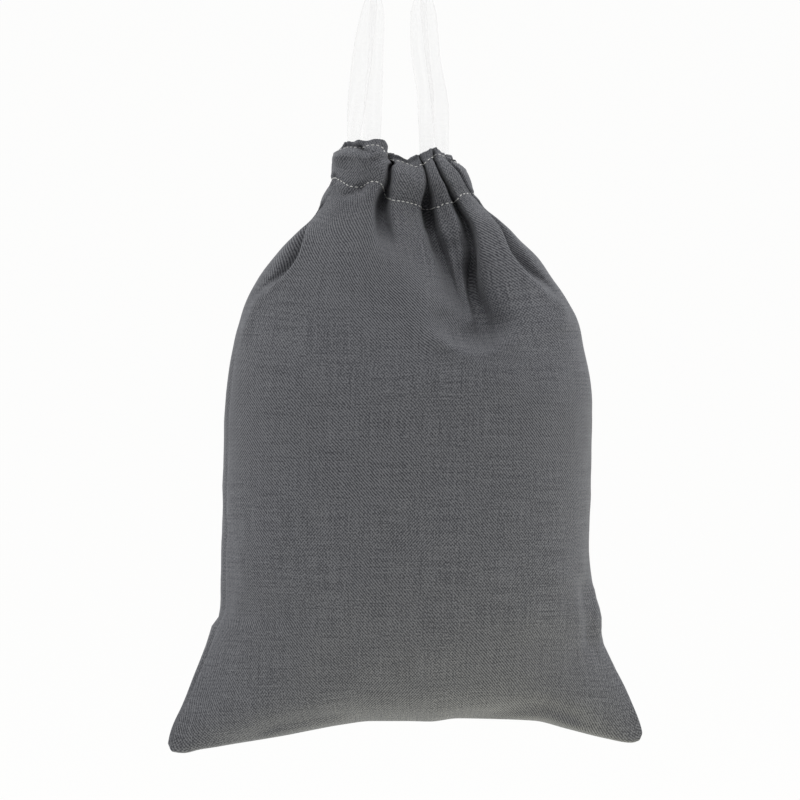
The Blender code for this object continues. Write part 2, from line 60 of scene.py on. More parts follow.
# Ribbons
# Two sheer white organza ribbons, 15 mm wide, woven of fine polyester. Each runs through the casing, comes
# out of the mouth as two taut strands that crease along their length, and is tied in a knot at the top.
RIBBON_WIDTH = 15.0
RIBBON_THICK = 0.22
RIBBON_CREASES = 2.0         # waves across a strand
RIBBON_POINTS = 17           # points across a strand
RIBBON_RINGS = 70            # rings up a strand
TAIL_RINGS = 14              # rings up a cut end
ORGANZA = (0.90, 0.90, 0.905, 1)
SELVEDGE = (6.2, 7.3)        # where the closer edge of the ribbon begins and ends, from its middle
OPEN_WEAVE, CLOSE_WEAVE = 0.05, 0.09   # how much the weave hides in the middle and at the edge
ORGANZA_THREADS = 420.0      # scale of its level threads
# A row is one height of a strand: its middle across and to the rear, its width there, the angle its face is
# turned by, and how deep it is creased
Strand = namedtuple("Strand", "height across back width turn crease")
RIBBONS = {
    "left": [
        [
            Strand(-122.0, -29.4, -11.2, 9.0, -36, 0.3),
            Strand(-104.0, -28.8, -8.8, 9.5, -32, 0.5),
            Strand(-80.0, -26.6, -4.4, 12.0, -12, 1.0),
            Strand(-50.0, -23.4, 0.2, 12.5, 12, 1.2),
            Strand(-26.0, -19.8, 2.2, 10.5, 8, 1.7),
            Strand(-9.0, -17.0, 1.4, 5.4, 0, 1.7),
        ],
        [
            Strand(-122.0, -18.4, -19.0, 10.0, -12, 0.3),
            Strand(-104.0, -17.4, -14.2, 11.0, -14, 0.5),
            Strand(-80.0, -16.6, -11.4, 12.0, -22, 0.9),
            Strand(-50.0, -15.4, -7.4, 10.5, -26, 1.2),
            Strand(-26.0, -14.6, -4.0, 9.5, -10, 1.6),
            Strand(-9.0, -15.2, -1.4, 5.4, 0, 1.6),
        ],
    ],
    "right": [
        [
            Strand(-122.0, 16.0, -4.4, 8.0, 2, 0.3),
            Strand(-104.0, 16.4, -5.2, 9.0, 4, 0.5),
            Strand(-80.0, 15.8, -6.2, 11.0, 20, 1.0),
            Strand(-50.0, 12.6, -5.4, 11.5, 10, 1.2),
            Strand(-26.0, 11.6, -3.6, 10.5, 4, 1.7),
            Strand(-9.0, 13.6, -1.4, 5.8, 0, 1.7),
        ],
        [
            Strand(-126.0, 33.2, -0.6, 7.4, 80, 0.3),
            Strand(-112.0, 26.6, -0.8, 8.0, 20, 0.5),
            Strand(-80.0, 24.6, 2.4, 11.0, -8, 1.0),
            Strand(-50.0, 20.0, 3.4, 10.0, -22, 1.2),
            Strand(-26.0, 17.8, 3.2, 10.0, -10, 1.6),
            Strand(-9.0, 15.8, 1.4, 5.8, 0, 1.6),
        ],
    ],
}
KNOT_AT = {"left": -16.0, "right": 14.5}
KNOT_HEIGHT = -7.0
KNOT_HALF = (1.95, 1.35, 5.0)  # size of its turns across, to the rear and up
KNOT_BAND = (2.3, 1.3)         # half width and half thickness of the gathered ribbon in the knot
KNOT_RINGS, KNOT_SIDES = 90, 12
TAIL_LONG = 10.0
TAIL_FOOT = (1.4, 0.6, 2.0)    # where a cut end leaves the knot, from the knot's middle


def along(rows, key, column, at):
    """One column of a table as a smooth curve over its key, with no overshoot between rows."""
    order = sorted(rows, key=lambda row: getattr(row, key))
    x = np.array([getattr(row, key) for row in order], float)
    y = np.array([getattr(row, column) for row in order], float)
    step = np.diff(x)
    slope = np.diff(y) / step
    tangent = np.zeros(len(x))
    agree = slope[:-1] * slope[1:] > 0
    tangent[1:-1][agree] = (2 * slope[:-1] * slope[1:])[agree] / (slope[:-1] + slope[1:])[agree]
    tangent[0], tangent[-1] = slope[0], slope[-1]
    at = np.clip(np.asarray(at, float), x[0], x[-1])
    i = np.clip(np.searchsorted(x, at, side="right") - 1, 0, len(step) - 1)
    s = (at - x[i]) / step[i]
    start = (1 + 2 * s) * (1 - s) ** 2 * y[i] + s * (1 - s) ** 2 * step[i] * tangent[i]
    end = s * s * (3 - 2 * s) * y[i + 1] + s * s * (s - 1) * step[i] * tangent[i + 1]
    return start + end


def mesh_piece(name, points, faces, places, material):
    """A shown piece made of points in millimetres, faces, and each face corner's flat place in metres."""
    data = bpy.data.meshes.new(name)
    data.from_pydata([tuple(point) for point in np.asarray(points) * MM], [], faces)
    layer = data.uv_layers.new(name="cloth")
    layer.data.foreach_set("uv", np.asarray(places, np.float32).ravel())
    data.materials.append(material)
    data.shade_smooth()
    piece = bpy.data.objects.new(name, data)
    bpy.context.scene.collection.objects.link(piece)
    return piece


def loft(rings):
    """Faces that skin a stack of equal closed rings of points, and close both its ends."""
    count = len(rings[0])
    faces = []
    for low in range(len(rings) - 1):
        for i in range(count):
            after = (i + 1) % count
            base, top = low * count, (low + 1) * count
            faces.append((base + i, base + after, top + after, top + i))
    faces.append(tuple(range(count))[::-1])
    last = (len(rings) - 1) * count
    faces.append(tuple(range(last, last + count)))
    return faces


def at_corners(places, faces):
    """The flat place of each face's corner, read from those of the points."""
    return np.concatenate(places)[[corner for face in faces for corner in face]]


def strand_rings(rows, heights, phase):
    """Rings of a creased strip of ribbon, with each point's place across and along it."""
    rings, places = [], []
    across = np.linspace(-0.5, 0.5, RIBBON_POINTS)
    share = np.concatenate([across, across[::-1]])
    face = np.repeat([-0.5, 0.5], RIBBON_POINTS) * RIBBON_THICK
    for height in heights:
        x, y, width, turn, crease = (
            float(along(rows, "height", column, height)) for column in Strand._fields[1:]
        )
        wander = noise.noise(Vector((phase, height * 0.03, 0.0)))
        wave = np.sin(2 * math.pi * RIBBON_CREASES * share + phase + 2.5 * wander)
        through = crease * wave * (1 - 0.5 * np.abs(share)) + face
        u, v = share * width, through
        angle = math.radians(turn)
        rings.append(np.column_stack([
            x + u * math.cos(angle) - v * math.sin(angle),
            y + u * math.sin(angle) + v * math.cos(angle),
            np.full(len(share), height),
        ]))
        places.append(np.column_stack([share * RIBBON_WIDTH * MM, np.full(len(share), height * MM)]))
    return rings, places


def join(tree, node, inputs):
    """Sets a node's inputs: each takes a value, or is linked to another node's output."""
    for name, value in inputs.items():
        if isinstance(value, bpy.types.NodeSocket):
            tree.links.new(value, node.inputs[name])
        else:
            node.inputs[name].default_value = value


def add_node(tree, kind, inputs, **settings):
    """A new node of a material or of the world, with its settings and its inputs."""
    node = tree.nodes.new("ShaderNode" + kind)
    for name, value in settings.items():
        setattr(node, name, value)
    join(tree, node, inputs)
    return node


def math_node(tree, kind, *terms):
    """The result of a sum, a product or the like."""
    return add_node(tree, "Math", dict(enumerate(terms)), operation=kind).outputs[0]


def ranged(tree, value, ends, results, **settings):
    """A value taken from one range to another."""
    return add_node(tree, "MapRange", {
        "Value": value, "From Min": ends[0], "From Max": ends[1], "To Min": results[0], "To Max": results[1],
    }, **settings).outputs["Result"]


def colour_ramp(tree, value, *stops):
    """The colour for a value, from stops that each have a place and a colour."""
    node = add_node(tree, "ValToRGB", {"Fac": value})
    elements = node.color_ramp.elements
    elements.remove(elements[1])
    elements[0].position, elements[0].color = stops[0]
    for place, colour in stops[1:]:
        elements.new(place).color = colour
    return node.outputs["Color"]


def new_material(name):
    """A new material and its tree of nodes, which holds a shader."""
    material = bpy.data.materials.new(name)
    material.use_nodes = True
    return material, material.node_tree


def make_organza():
    """Sheer white ribbon: a fine even weave that lets nearly all the light through, closer at its edges."""
    material, tree = new_material("organza_white")
    place = add_node(tree, "UVMap", {}, uv_map="cloth").outputs["UV"]
    across = add_node(tree, "SeparateXYZ", {0: place}).outputs["X"]
    edges = SELVEDGE[0] * MM, SELVEDGE[1] * MM
    selvedge = ranged(tree, math_node(tree, "ABSOLUTE", across), edges, (OPEN_WEAVE, CLOSE_WEAVE))
    threads = add_node(tree, "TexWave", {"Vector": place, "Scale": ORGANZA_THREADS, "Distortion": 1.5},
                       bands_direction="Y").outputs["Fac"]
    bump = add_node(tree, "Bump", {"Strength": 0.25, "Distance": 0.1 * MM, "Height": threads})
    join(tree, tree.nodes["Principled BSDF"], {
        "Base Color": ORGANZA, "Roughness": 0.42, "Sheen Weight": 0.25, "Specular IOR Level": 0.35,
        "Alpha": math_node(tree, "MULTIPLY_ADD", threads, 0.06, selvedge), "Normal": bump.outputs["Normal"],
    })
    return material


def make_knot(name, centre, material):
    """An overhand knot of the gathered ribbon: one closed run of three turns, pulled tight."""
    t = np.linspace(0, 2 * math.pi, KNOT_RINGS, endpoint=False)
    route = np.column_stack([
        KNOT_HALF[0] * (np.sin(t) + 2 * np.sin(2 * t)),
        KNOT_HALF[1] * -np.sin(3 * t),
        KNOT_HALF[2] / 3 * (np.cos(t) - 2 * np.cos(2 * t)),
    ])
    rings, places = [], []
    for i, middle in enumerate(route):
        ahead = Vector(route[(i + 1) % KNOT_RINGS] - route[i - 1]).normalized()
        side = ahead.cross(Vector(middle)).normalized()
        out = side.cross(ahead).normalized()
        ring = []
        for k in range(KNOT_SIDES):
            a = 2 * math.pi * k / KNOT_SIDES
            crumple = 1 + 0.16 * math.sin(4 * a + 5 * t[i]) + 0.2 * noise.noise(Vector(middle) * 0.7)
            spot = side * math.cos(a) * KNOT_BAND[0] + out * math.sin(a) * KNOT_BAND[1]
            ring.append(np.array(middle) + np.array(spot) * crumple)
        rings.append(np.array(ring) + centre)
        places.append([(k * MM, i * 0.4 * MM) for k in range(KNOT_SIDES)])
    points = np.concatenate(rings)
    faces = []
    for i in range(KNOT_RINGS):
        low, high = i * KNOT_SIDES, (i + 1) % KNOT_RINGS * KNOT_SIDES
        for k in range(KNOT_SIDES):
            after = (k + 1) % KNOT_SIDES
            faces.append((low + k, high + k, high + after, low + after))
    return mesh_piece(name, points, faces, at_corners(places, faces), material)


def make_tail(name, centre, lean, material):
    """One cut end of the ribbon, standing up out of the knot and fanning out."""
    rows = [
        Strand(0.0, 0.0, 0.0, 4.2, 10 * lean, 1.0),
        Strand(TAIL_LONG * 0.5, 1.1 * lean, 0.4 * lean, 5.6, 16 * lean, 0.9),
        Strand(TAIL_LONG, 3.0 * lean, 1.0 * lean, 7.4, 28 * lean, 0.7),
    ]
    rings, places = strand_rings(rows, np.linspace(0, TAIL_LONG, TAIL_RINGS), 2.0 * lean)
    points = np.concatenate(rings) + centre
    faces = loft(rings)
    return mesh_piece(name, points, faces, at_corners(places, faces), material)


organza = make_organza()
for side, (first, second) in RIBBONS.items():
    points, faces, places, route = [], [], [], []
    for rows, phase in ((first, 0.4), (second, 2.1)):
        heights = np.linspace(rows[0].height, rows[-1].height, RIBBON_RINGS)
        rings, flat = strand_rings(rows, heights, phase)
        start = len(points)
        faces += [tuple(start + corner for corner in face) for face in loft(rings)]
        points += list(np.concatenate(rings))
        places += flat
        middle = [[float(along(rows, "height", "across", z)), float(along(rows, "height", "back", z)), z]
                  for z in heights[::3]]
        route += middle if rows is first else middle[::-1]
    ribbon = mesh_piece(f"ribbon_{side}_organza", points, faces, at_corners(places, faces), organza)
    centre = np.array([KNOT_AT[side], 0.0, KNOT_HEIGHT])
    knot = make_knot(f"ribbon_{side}_knot", centre, organza)
    tails = [make_tail(f"ribbon_{side}_tail_{word}", centre + np.array(TAIL_FOOT) * (lean, lean, 1), lean,
                       organza)
             for word, lean in (("front", -1), ("back", 1))]
    for piece in (ribbon, knot, *tails):
        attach(piece, "root")
    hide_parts(f"ribbon_{side}")
    route = np.array(route) * MM


# Linen bag
# One length of medium-weight linen, folded at the foot, sewn up both sides and turned, with the mouth
# turned down twice into a casing. It hangs filled out, flat at its two lower corners, and gathered into
# pleats where the ribbons draw the casing together.
COLUMNS = 384                # columns round the bag, from the left side seam across the front
COLUMN_STEP = 2 * math.pi / COLUMNS
CLOTH_THICK = 0.9            # one layer
HEM_THICK = 1.7              # the top edge, where the cloth is turned twice
HEM_BLEND = 0.08             # share of the casing's height over which the cloth thickens
LAYER_GAP = 0.9              # half the space that the layers keep where they lie together
EDGE_ROUND = 2.2             # how far in from a side seam the layers part
ROUND_BAG = 0.600            # metres of cloth round the bag
FOOT = -473.0                # the level that the fold at the foot is set out from
STITCH = -139.5              # the level that the casing's lower row of stitches is set out from
MOUTH = -103.0               # the level that the top edge is set out from
SHIFT_ENDS = -205.0          # the level down to which the rings follow the casing's slant
PLAIN_BELOW = -330.0         # the level under which the columns stand evenly
FOOT_FADES = 75.0            # how far up the rings follow the foot's slant
FOLD_HALF = 12               # columns in half a pleat
FOLD_SETTLES = 70.0          # how far under a pleat its columns come back to even steps
FACE_LEAST = 0.05            # the least angle between two pleats
SEAM_LIMIT = 0.995           # share of the half width past which no valley lies
RELIEF_ENDS = 3.0            # how deep in a pleat the creases and puckers have faded
TOP_STITCH = 0.86            # share of the casing's height where its upper row of stitches runs
CASING_RINGS = 34            # rings of points up the casing
FOOT_RINGS = FOOT + 1.3 + 22 * np.linspace(0, 1, 11)[:-1] ** 1.3   # close together at the fold
BODY_RINGS = np.linspace(FOOT + 23.3, -242, 37)
NECK_RINGS = np.linspace(-237, STITCH - 1.4, 44)
PLAN_TOP, PLAN_STEP = -99.0, 1.5   # the level under which ring plans are made, and their step
PLAN_ROUNDS = 3              # rounds that settle where each column stands and how high it is
CREASE_ENDS = 0.18           # share of a crease's length that it takes to rise at each end
HOLLOW_STOPS, CREASE_STOPS = 3, 6   # how sharply each stops at the side seams

# The outline at each height: how far the cloth reaches to the left and to the right
Side = namedtuple("Side", "height left right")
SIDES = [
    Side(-480.0, -144.6, 151.0),
    Side(-468.0, -142.0, 149.6),
    Side(-449.5, -133.9, 143.2),
    Side(-424.7, -124.0, 130.8),
    Side(-412.0, -119.0, 125.8),
    Side(-403.5, -116.4, 124.8),
    Side(-396.0, -111.9, 123.6),
    Side(-384.0, -111.4, 120.2),
    Side(-366.0, -110.7, 118.0),
    Side(-344.0, -110.4, 117.2),
    Side(-322.0, -110.2, 118.2),
    Side(-300.0, -109.6, 118.6),
    Side(-263.5, -107.9, 119.0),
    Side(-250.0, -106.6, 117.8),
    Side(-232.5, -103.4, 114.2),
    Side(-213.9, -99.2, 109.7),
    Side(-201.5, -95.0, 103.6),
    Side(-189.1, -88.7, 95.5),
    Side(-176.7, -79.4, 86.8),
    Side(-164.3, -68.2, 74.4),
    Side(-158.1, -62.0, 68.8),
    Side(-151.9, -55.0, 61.6),
    Side(-144.5, -50.4, 52.4),
    Side(-139.5, -49.0, 48.8),
    Side(-134.5, -46.6, 45.4),
    Side(-129.6, -43.4, 44.2),
    Side(-122.0, -42.8, 41.0),
    Side(-117.8, -42.6, 37.4),
    Side(-114.7, -41.9, 32.0),
    Side(-111.0, -41.0, 29.2),
    Side(-108.5, -38.8, 28.4),
    Side(-105.5, -37.2, 27.8),
    Side(-101.5, -37.2, 27.6),
]

# How far the cloth stands out to the front and the rear, how square its ring is, and how sharp at the sides
Depth = namedtuple("Depth", "height front rear square ear")
DEPTHS = [
    Depth(-473.0, 0.0, 0.0, 2.4, 1.35),
    Depth(-471.8, 9.0, 8.0, 2.4, 1.3),
    Depth(-468.0, 21.0, 19.5, 2.4, 1.25),
    Depth(-461.0, 33.0, 31.0, 2.4, 1.2),
    Depth(-450.0, 43.0, 41.5, 2.4, 1.1),
    Depth(-437.0, 49.5, 47.5, 2.4, 1.0),
    Depth(-415.0, 57.5, 55.0, 2.4, 0.80),
    Depth(-390.0, 64.5, 62.0, 2.4, 0.58),
    Depth(-365.0, 68.0, 65.0, 2.45, 0.50),
    Depth(-320.0, 69.5, 67.0, 2.5, 0.50),
    Depth(-260.0, 68.0, 66.0, 2.45, 0.50),
    Depth(-226.0, 61.0, 60.0, 2.3, 0.50),
    Depth(-200.0, 52.0, 51.0, 2.2, 0.50),
    Depth(-176.0, 42.5, 42.0, 2.1, 0.50),
    Depth(-158.0, 35.0, 34.0, 2.1, 0.50),
    Depth(-147.0, 31.0, 30.5, 2.1, 0.50),
    Depth(-142.0, 29.6, 28.6, 2.1, 0.50),
    Depth(-139.5, 29.0, 28.0, 2.1, 0.50),
    Depth(-136.5, 29.2, 29.0, 2.2, 0.50),
    Depth(-129.0, 29.4, 30.2, 2.2, 0.50),
    Depth(-120.5, 28.2, 29.4, 2.2, 0.50),
    Depth(-114.5, 25.4, 26.8, 2.2, 0.50),
    Depth(-110.5, 21.8, 22.8, 2.2, 0.50),
    Depth(-108.1, 19.2, 19.8, 2.2, 0.50),
    Depth(-106.0, 18.8, 19.4, 2.2, 0.50),
    Depth(-103.0, 18.2, 18.8, 2.2, 0.50),
]

# The fold at the foot, from the left corner, -1, to the right corner, 1
Foot = namedtuple("Foot", "station height")
FOOT_FOLD = [
    Foot(-1.00, -476.5),
    Foot(-0.975, -481.6),
    Foot(-0.93, -482.4),
    Foot(-0.86, -480.2),
    Foot(-0.80, -478.8),
    Foot(-0.72, -476.7),
    Foot(-0.62, -474.3),
    Foot(-0.50, -471.2),
    Foot(-0.40, -468.2),
    Foot(-0.28, -464.9),
    Foot(-0.15, -462.6),
    Foot(0.00, -462.6),
    Foot(0.10, -462.9),
    Foot(0.22, -460.9),
    Foot(0.40, -461.4),
    Foot(0.55, -462.4),
    Foot(0.68, -467.2),
    Foot(0.84, -473.2),
    Foot(0.95, -476.0),
    Foot(0.985, -474.6),
    Foot(1.00, -471.0),
]

# The casing at each angle round the neck from the left seam: its lower row of stitches and its top edge
Casing = namedtuple("Casing", "angle stitch top")
CASING_LINES = [
    Casing(0, -127.0, -106.5),
    Casing(18, -126.4, -105.2),
    Casing(32, -128.8, -103.8),
    Casing(46, -132.2, -103.7),
    Casing(55, -132.8, -103.8),
    Casing(66, -129.6, -103.0),
    Casing(72, -130.2, -102.9),
    Casing(76, -132.4, -103.0),
    Casing(79, -135.6, -103.2),
    Casing(82, -139.4, -104.0),
    Casing(85, -141.2, -106.5),
    Casing(90, -141.6, -111.4),
    Casing(96, -142.4, -112.6),
    Casing(101, -143.6, -114.2),
    Casing(105, -145.0, -115.8),
    Casing(109, -145.2, -114.8),
    Casing(117, -144.6, -113.0),
    Casing(120, -143.2, -112.2),
    Casing(129, -141.8, -110.4),
    Casing(137, -139.8, -108.8),
    Casing(146, -136.9, -107.6),
    Casing(155, -136.2, -109.2),
    Casing(170, -136.0, -113.8),
    Casing(180, -136.0, -116.0),
    Casing(192, -137.0, -115.6),
    Casing(207, -138.5, -112.5),
    Casing(218, -140.4, -111.8),
    Casing(230, -142.0, -112.0),
    Casing(243, -141.6, -116.5),
    Casing(255, -140.5, -117.0),
    Casing(268, -141.4, -116.4),
    Casing(280, -141.5, -114.0),
    Casing(292, -139.4, -112.2),
    Casing(305, -136.5, -113.0),
    Casing(320, -133.4, -108.8),
    Casing(335, -130.5, -108.5),
    Casing(360, -127.0, -106.5),
]

# Pleats. Each row is one height of a pleat's valley: where it lies across the bag, how deep it goes, half
# its opening, and how far its cloth reaches to each side of the valley
Fold = namedtuple("Fold", "height across depth opening before after")
FRONT_FOLDS = {
    "left_side": [
        Fold(-101.5, -34.0, 0.0, 1.2, 3.5, 3.5),
        Fold(-122.0, -39.6, 0.0, 1.4, 4.0, 4.0),
        Fold(-139.5, -45.6, 0.6, 2.0, 5.0, 5.0),
        Fold(-148.0, -52.5, 4.0, 2.6, 6.0, 3.6),
        Fold(-156.0, -58.0, 9.0, 3.4, 8.0, 4.2),
        Fold(-165.0, -61.8, 12.0, 4.6, 11.0, 5.4),
        Fold(-175.0, -66.0, 12.5, 5.6, 14.0, 6.2),
        Fold(-183.0, -71.0, 9.5, 6.0, 15.0, 6.6),
        Fold(-189.0, -76.6, 5.0, 6.0, 14.0, 7.5),
        Fold(-194.0, -82.0, 1.6, 6.0, 12.0, 9.0),
        Fold(-200.0, -86.0, 0.0, 6.0, 12.0, 10.0),
    ],
    "left_slit": [
        Fold(-101.5, -6.4, 9.0, 0.7, 4.2, 4.2),
        Fold(-114.7, -6.4, 15.0, 0.8, 4.4, 4.4),
        Fold(-122.0, -6.6, 16.0, 1.0, 4.6, 4.6),
        Fold(-129.6, -7.2, 19.0, 1.4, 5.0, 5.0),
        Fold(-134.0, -8.6, 20.5, 2.4, 5.8, 5.8),
        Fold(-139.5, -10.0, 21.0, 3.8, 7.2, 7.0),
        Fold(-144.5, -11.0, 19.5, 4.6, 8.4, 7.6),
        Fold(-149.4, -11.0, 16.5, 4.6, 8.8, 8.0),
        Fold(-155.6, -10.4, 12.0, 4.6, 10.0, 8.6),
        Fold(-161.8, -9.6, 7.0, 5.0, 11.0, 9.6),
        Fold(-168.0, -8.6, 2.8, 5.6, 12.0, 10.0),
        Fold(-176.0, -7.6, 0.0, 6.0, 14.0, 11.0),
    ],
    "middle_slit": [
        Fold(-101.5, 9.0, 5.0, 0.4, 3.0, 3.0),
        Fold(-114.7, 12.8, 7.5, 0.5, 3.0, 3.0),
        Fold(-122.0, 15.6, 9.5, 0.6, 3.2, 3.2),
        Fold(-129.6, 17.3, 12.5, 0.9, 3.8, 3.8),
        Fold(-136.4, 17.5, 17.5, 2.2, 5.0, 5.0),
        Fold(-142.6, 17.2, 21.5, 4.0, 6.6, 6.2),
        Fold(-148.8, 18.0, 21.5, 4.4, 7.6, 6.8),
        Fold(-155.0, 19.2, 19.5, 4.2, 8.2, 7.0),
        Fold(-161.2, 21.2, 17.0, 4.2, 9.4, 7.2),
        Fold(-169.3, 24.6, 14.5, 5.0, 12.0, 7.6),
        Fold(-176.7, 28.2, 11.5, 6.0, 15.0, 7.6),
        Fold(-184.0, 31.2, 8.0, 7.0, 17.0, 7.6),
        Fold(-191.0, 33.6, 4.5, 7.6, 19.0, 8.0),
        Fold(-204.0, 36.0, 0.0, 8.0, 20.0, 9.0),
    ],
    "right_slit": [
        Fold(-101.5, 20.0, 4.5, 0.5, 3.0, 3.0),
        Fold(-116.6, 22.4, 10.0, 0.8, 3.4, 3.4),
        Fold(-125.2, 25.6, 11.5, 0.9, 3.4, 3.6),
        Fold(-131.4, 29.0, 12.5, 1.0, 3.6, 4.2),
        Fold(-138.3, 32.2, 15.5, 1.4, 4.2, 5.2),
        Fold(-144.5, 35.3, 19.0, 2.4, 5.2, 6.4),
        Fold(-150.7, 38.4, 20.5, 3.2, 6.0, 7.4),
        Fold(-157.0, 40.8, 21.5, 4.0, 6.8, 8.4),
        Fold(-164.3, 41.8, 21.5, 4.6, 7.6, 9.4),
        Fold(-171.7, 42.2, 20.5, 5.0, 8.2, 10.6),
        Fold(-179.2, 41.2, 20.0, 5.2, 8.2, 13.0),
        Fold(-186.6, 40.4, 19.5, 5.8, 9.0, 15.4),
        Fold(-194.0, 40.8, 18.0, 6.6, 10.4, 17.0),
        Fold(-200.5, 42.2, 15.5, 7.6, 12.4, 17.6),
        Fold(-208.0, 44.6, 12.0, 8.6, 14.4, 17.4),
        Fold(-216.0, 47.2, 7.5, 9.4, 16.0, 17.0),
        Fold(-223.0, 48.6, 3.0, 10.0, 17.0, 17.0),
        Fold(-231.0, 49.4, 0.0, 10.0, 17.0, 17.0),
    ],
    "right_side": [
        Fold(-101.5, 25.8, 0.4, 1.0, 2.5, 2.5),
        Fold(-114.7, 29.6, 1.6, 1.2, 3.0, 3.2),
        Fold(-124.0, 37.6, 3.0, 1.3, 4.0, 4.0),
        Fold(-133.0, 42.6, 2.0, 1.6, 4.0, 4.0),
        Fold(-147.0, 54.4, 4.0, 2.4, 3.6, 4.6),
        Fold(-152.0, 59.0, 8.0, 3.2, 4.2, 6.0),
        Fold(-158.5, 64.4, 11.5, 4.4, 5.2, 9.0),
        Fold(-166.0, 68.4, 13.0, 5.4, 6.2, 11.5),
        Fold(-174.0, 72.6, 12.0, 6.2, 7.0, 14.0),
        Fold(-183.0, 79.6, 8.5, 6.6, 7.4, 14.0),
        Fold(-190.0, 87.0, 4.0, 6.4, 8.4, 13.0),
        Fold(-196.0, 92.0, 1.2, 6.0, 9.0, 11.0),
        Fold(-203.0, 95.0, 0.0, 6.0, 10.0, 11.0),
    ],
}
REAR_FOLDS = {
    "rear_right_side": [
        Fold(-101.5, 23.6, 0.6, 1.0, 2.8, 2.8),
        Fold(-120.0, 33.0, 3.0, 1.2, 4.0, 4.0),
        Fold(-139.5, 40.0, 6.0, 1.8, 5.0, 5.0),
        Fold(-160.0, 57.0, 5.5, 3.5, 8.0, 8.0),
        Fold(-196.0, 80.0, 0.0, 6.0, 12.0, 12.0),
    ],
    "rear_right_slit": [
        Fold(-101.5, 13.0, 6.5, 0.8, 4.0, 4.2),
        Fold(-120.0, 18.5, 12.0, 0.8, 4.4, 4.4),
        Fold(-139.5, 22.5, 15.0, 1.8, 5.0, 5.0),
        Fold(-158.0, 30.0, 11.0, 3.5, 9.0, 9.0),
        Fold(-185.0, 42.0, 5.5, 6.0, 15.0, 14.0),
        Fold(-222.0, 52.0, 0.0, 9.0, 20.0, 18.0),
    ],
    "rear_middle_slit": [
        Fold(-101.5, 0.5, 8.0, 0.8, 4.2, 4.2),
        Fold(-120.0, 3.0, 14.0, 0.8, 4.4, 4.4),
        Fold(-139.5, 5.5, 16.0, 1.9, 5.5, 5.5),
        Fold(-158.0, 3.0, 10.0, 4.0, 9.0, 10.0),
        Fold(-180.0, 0.0, 4.0, 6.0, 13.0, 14.0),
        Fold(-212.0, -2.0, 0.0, 8.0, 16.0, 16.0),
    ],
    "rear_left_slit": [
        Fold(-101.5, -13.0, 8.0, 0.8, 4.0, 4.2),
        Fold(-120.0, -13.0, 13.0, 0.8, 4.4, 4.4),
        Fold(-139.5, -15.5, 16.0, 1.8, 5.0, 5.0),
        Fold(-158.0, -22.0, 12.0, 3.2, 8.0, 9.0),
        Fold(-190.0, -35.0, 7.0, 6.0, 14.0, 15.0),
        Fold(-236.0, -46.0, 0.0, 10.0, 20.0, 20.0),
    ],
    "rear_left_side": [
        Fold(-101.5, -28.0, 3.0, 1.0, 3.2, 3.2),
        Fold(-120.0, -33.0, 7.0, 1.2, 4.2, 4.2),
        Fold(-139.5, -37.5, 6.0, 1.8, 5.0, 5.0),
        Fold(-160.0, -52.0, 4.0, 3.5, 8.0, 8.0),
        Fold(-194.0, -72.0, 0.0, 6.0, 12.0, 12.0),
    ],
}

# The column at each pleat's valley, and how straight to the front or rear its cloth is drawn in
Gather = namedtuple("Gather", "name column straight")
GATHERS = [
    Gather("left_side", 24, 0.0),
    Gather("left_slit", 64, 0.8),
    Gather("middle_slit", 104, 0.8),
    Gather("right_slit", 136, 0.8),
    Gather("right_side", 168, 0.0),
    Gather("rear_right_side", 216, 0.2),
    Gather("rear_right_slit", 248, 0.7),
    Gather("rear_middle_slit", 280, 0.8),
    Gather("rear_left_slit", 320, 0.7),
    Gather("rear_left_side", 360, 0.2),
]

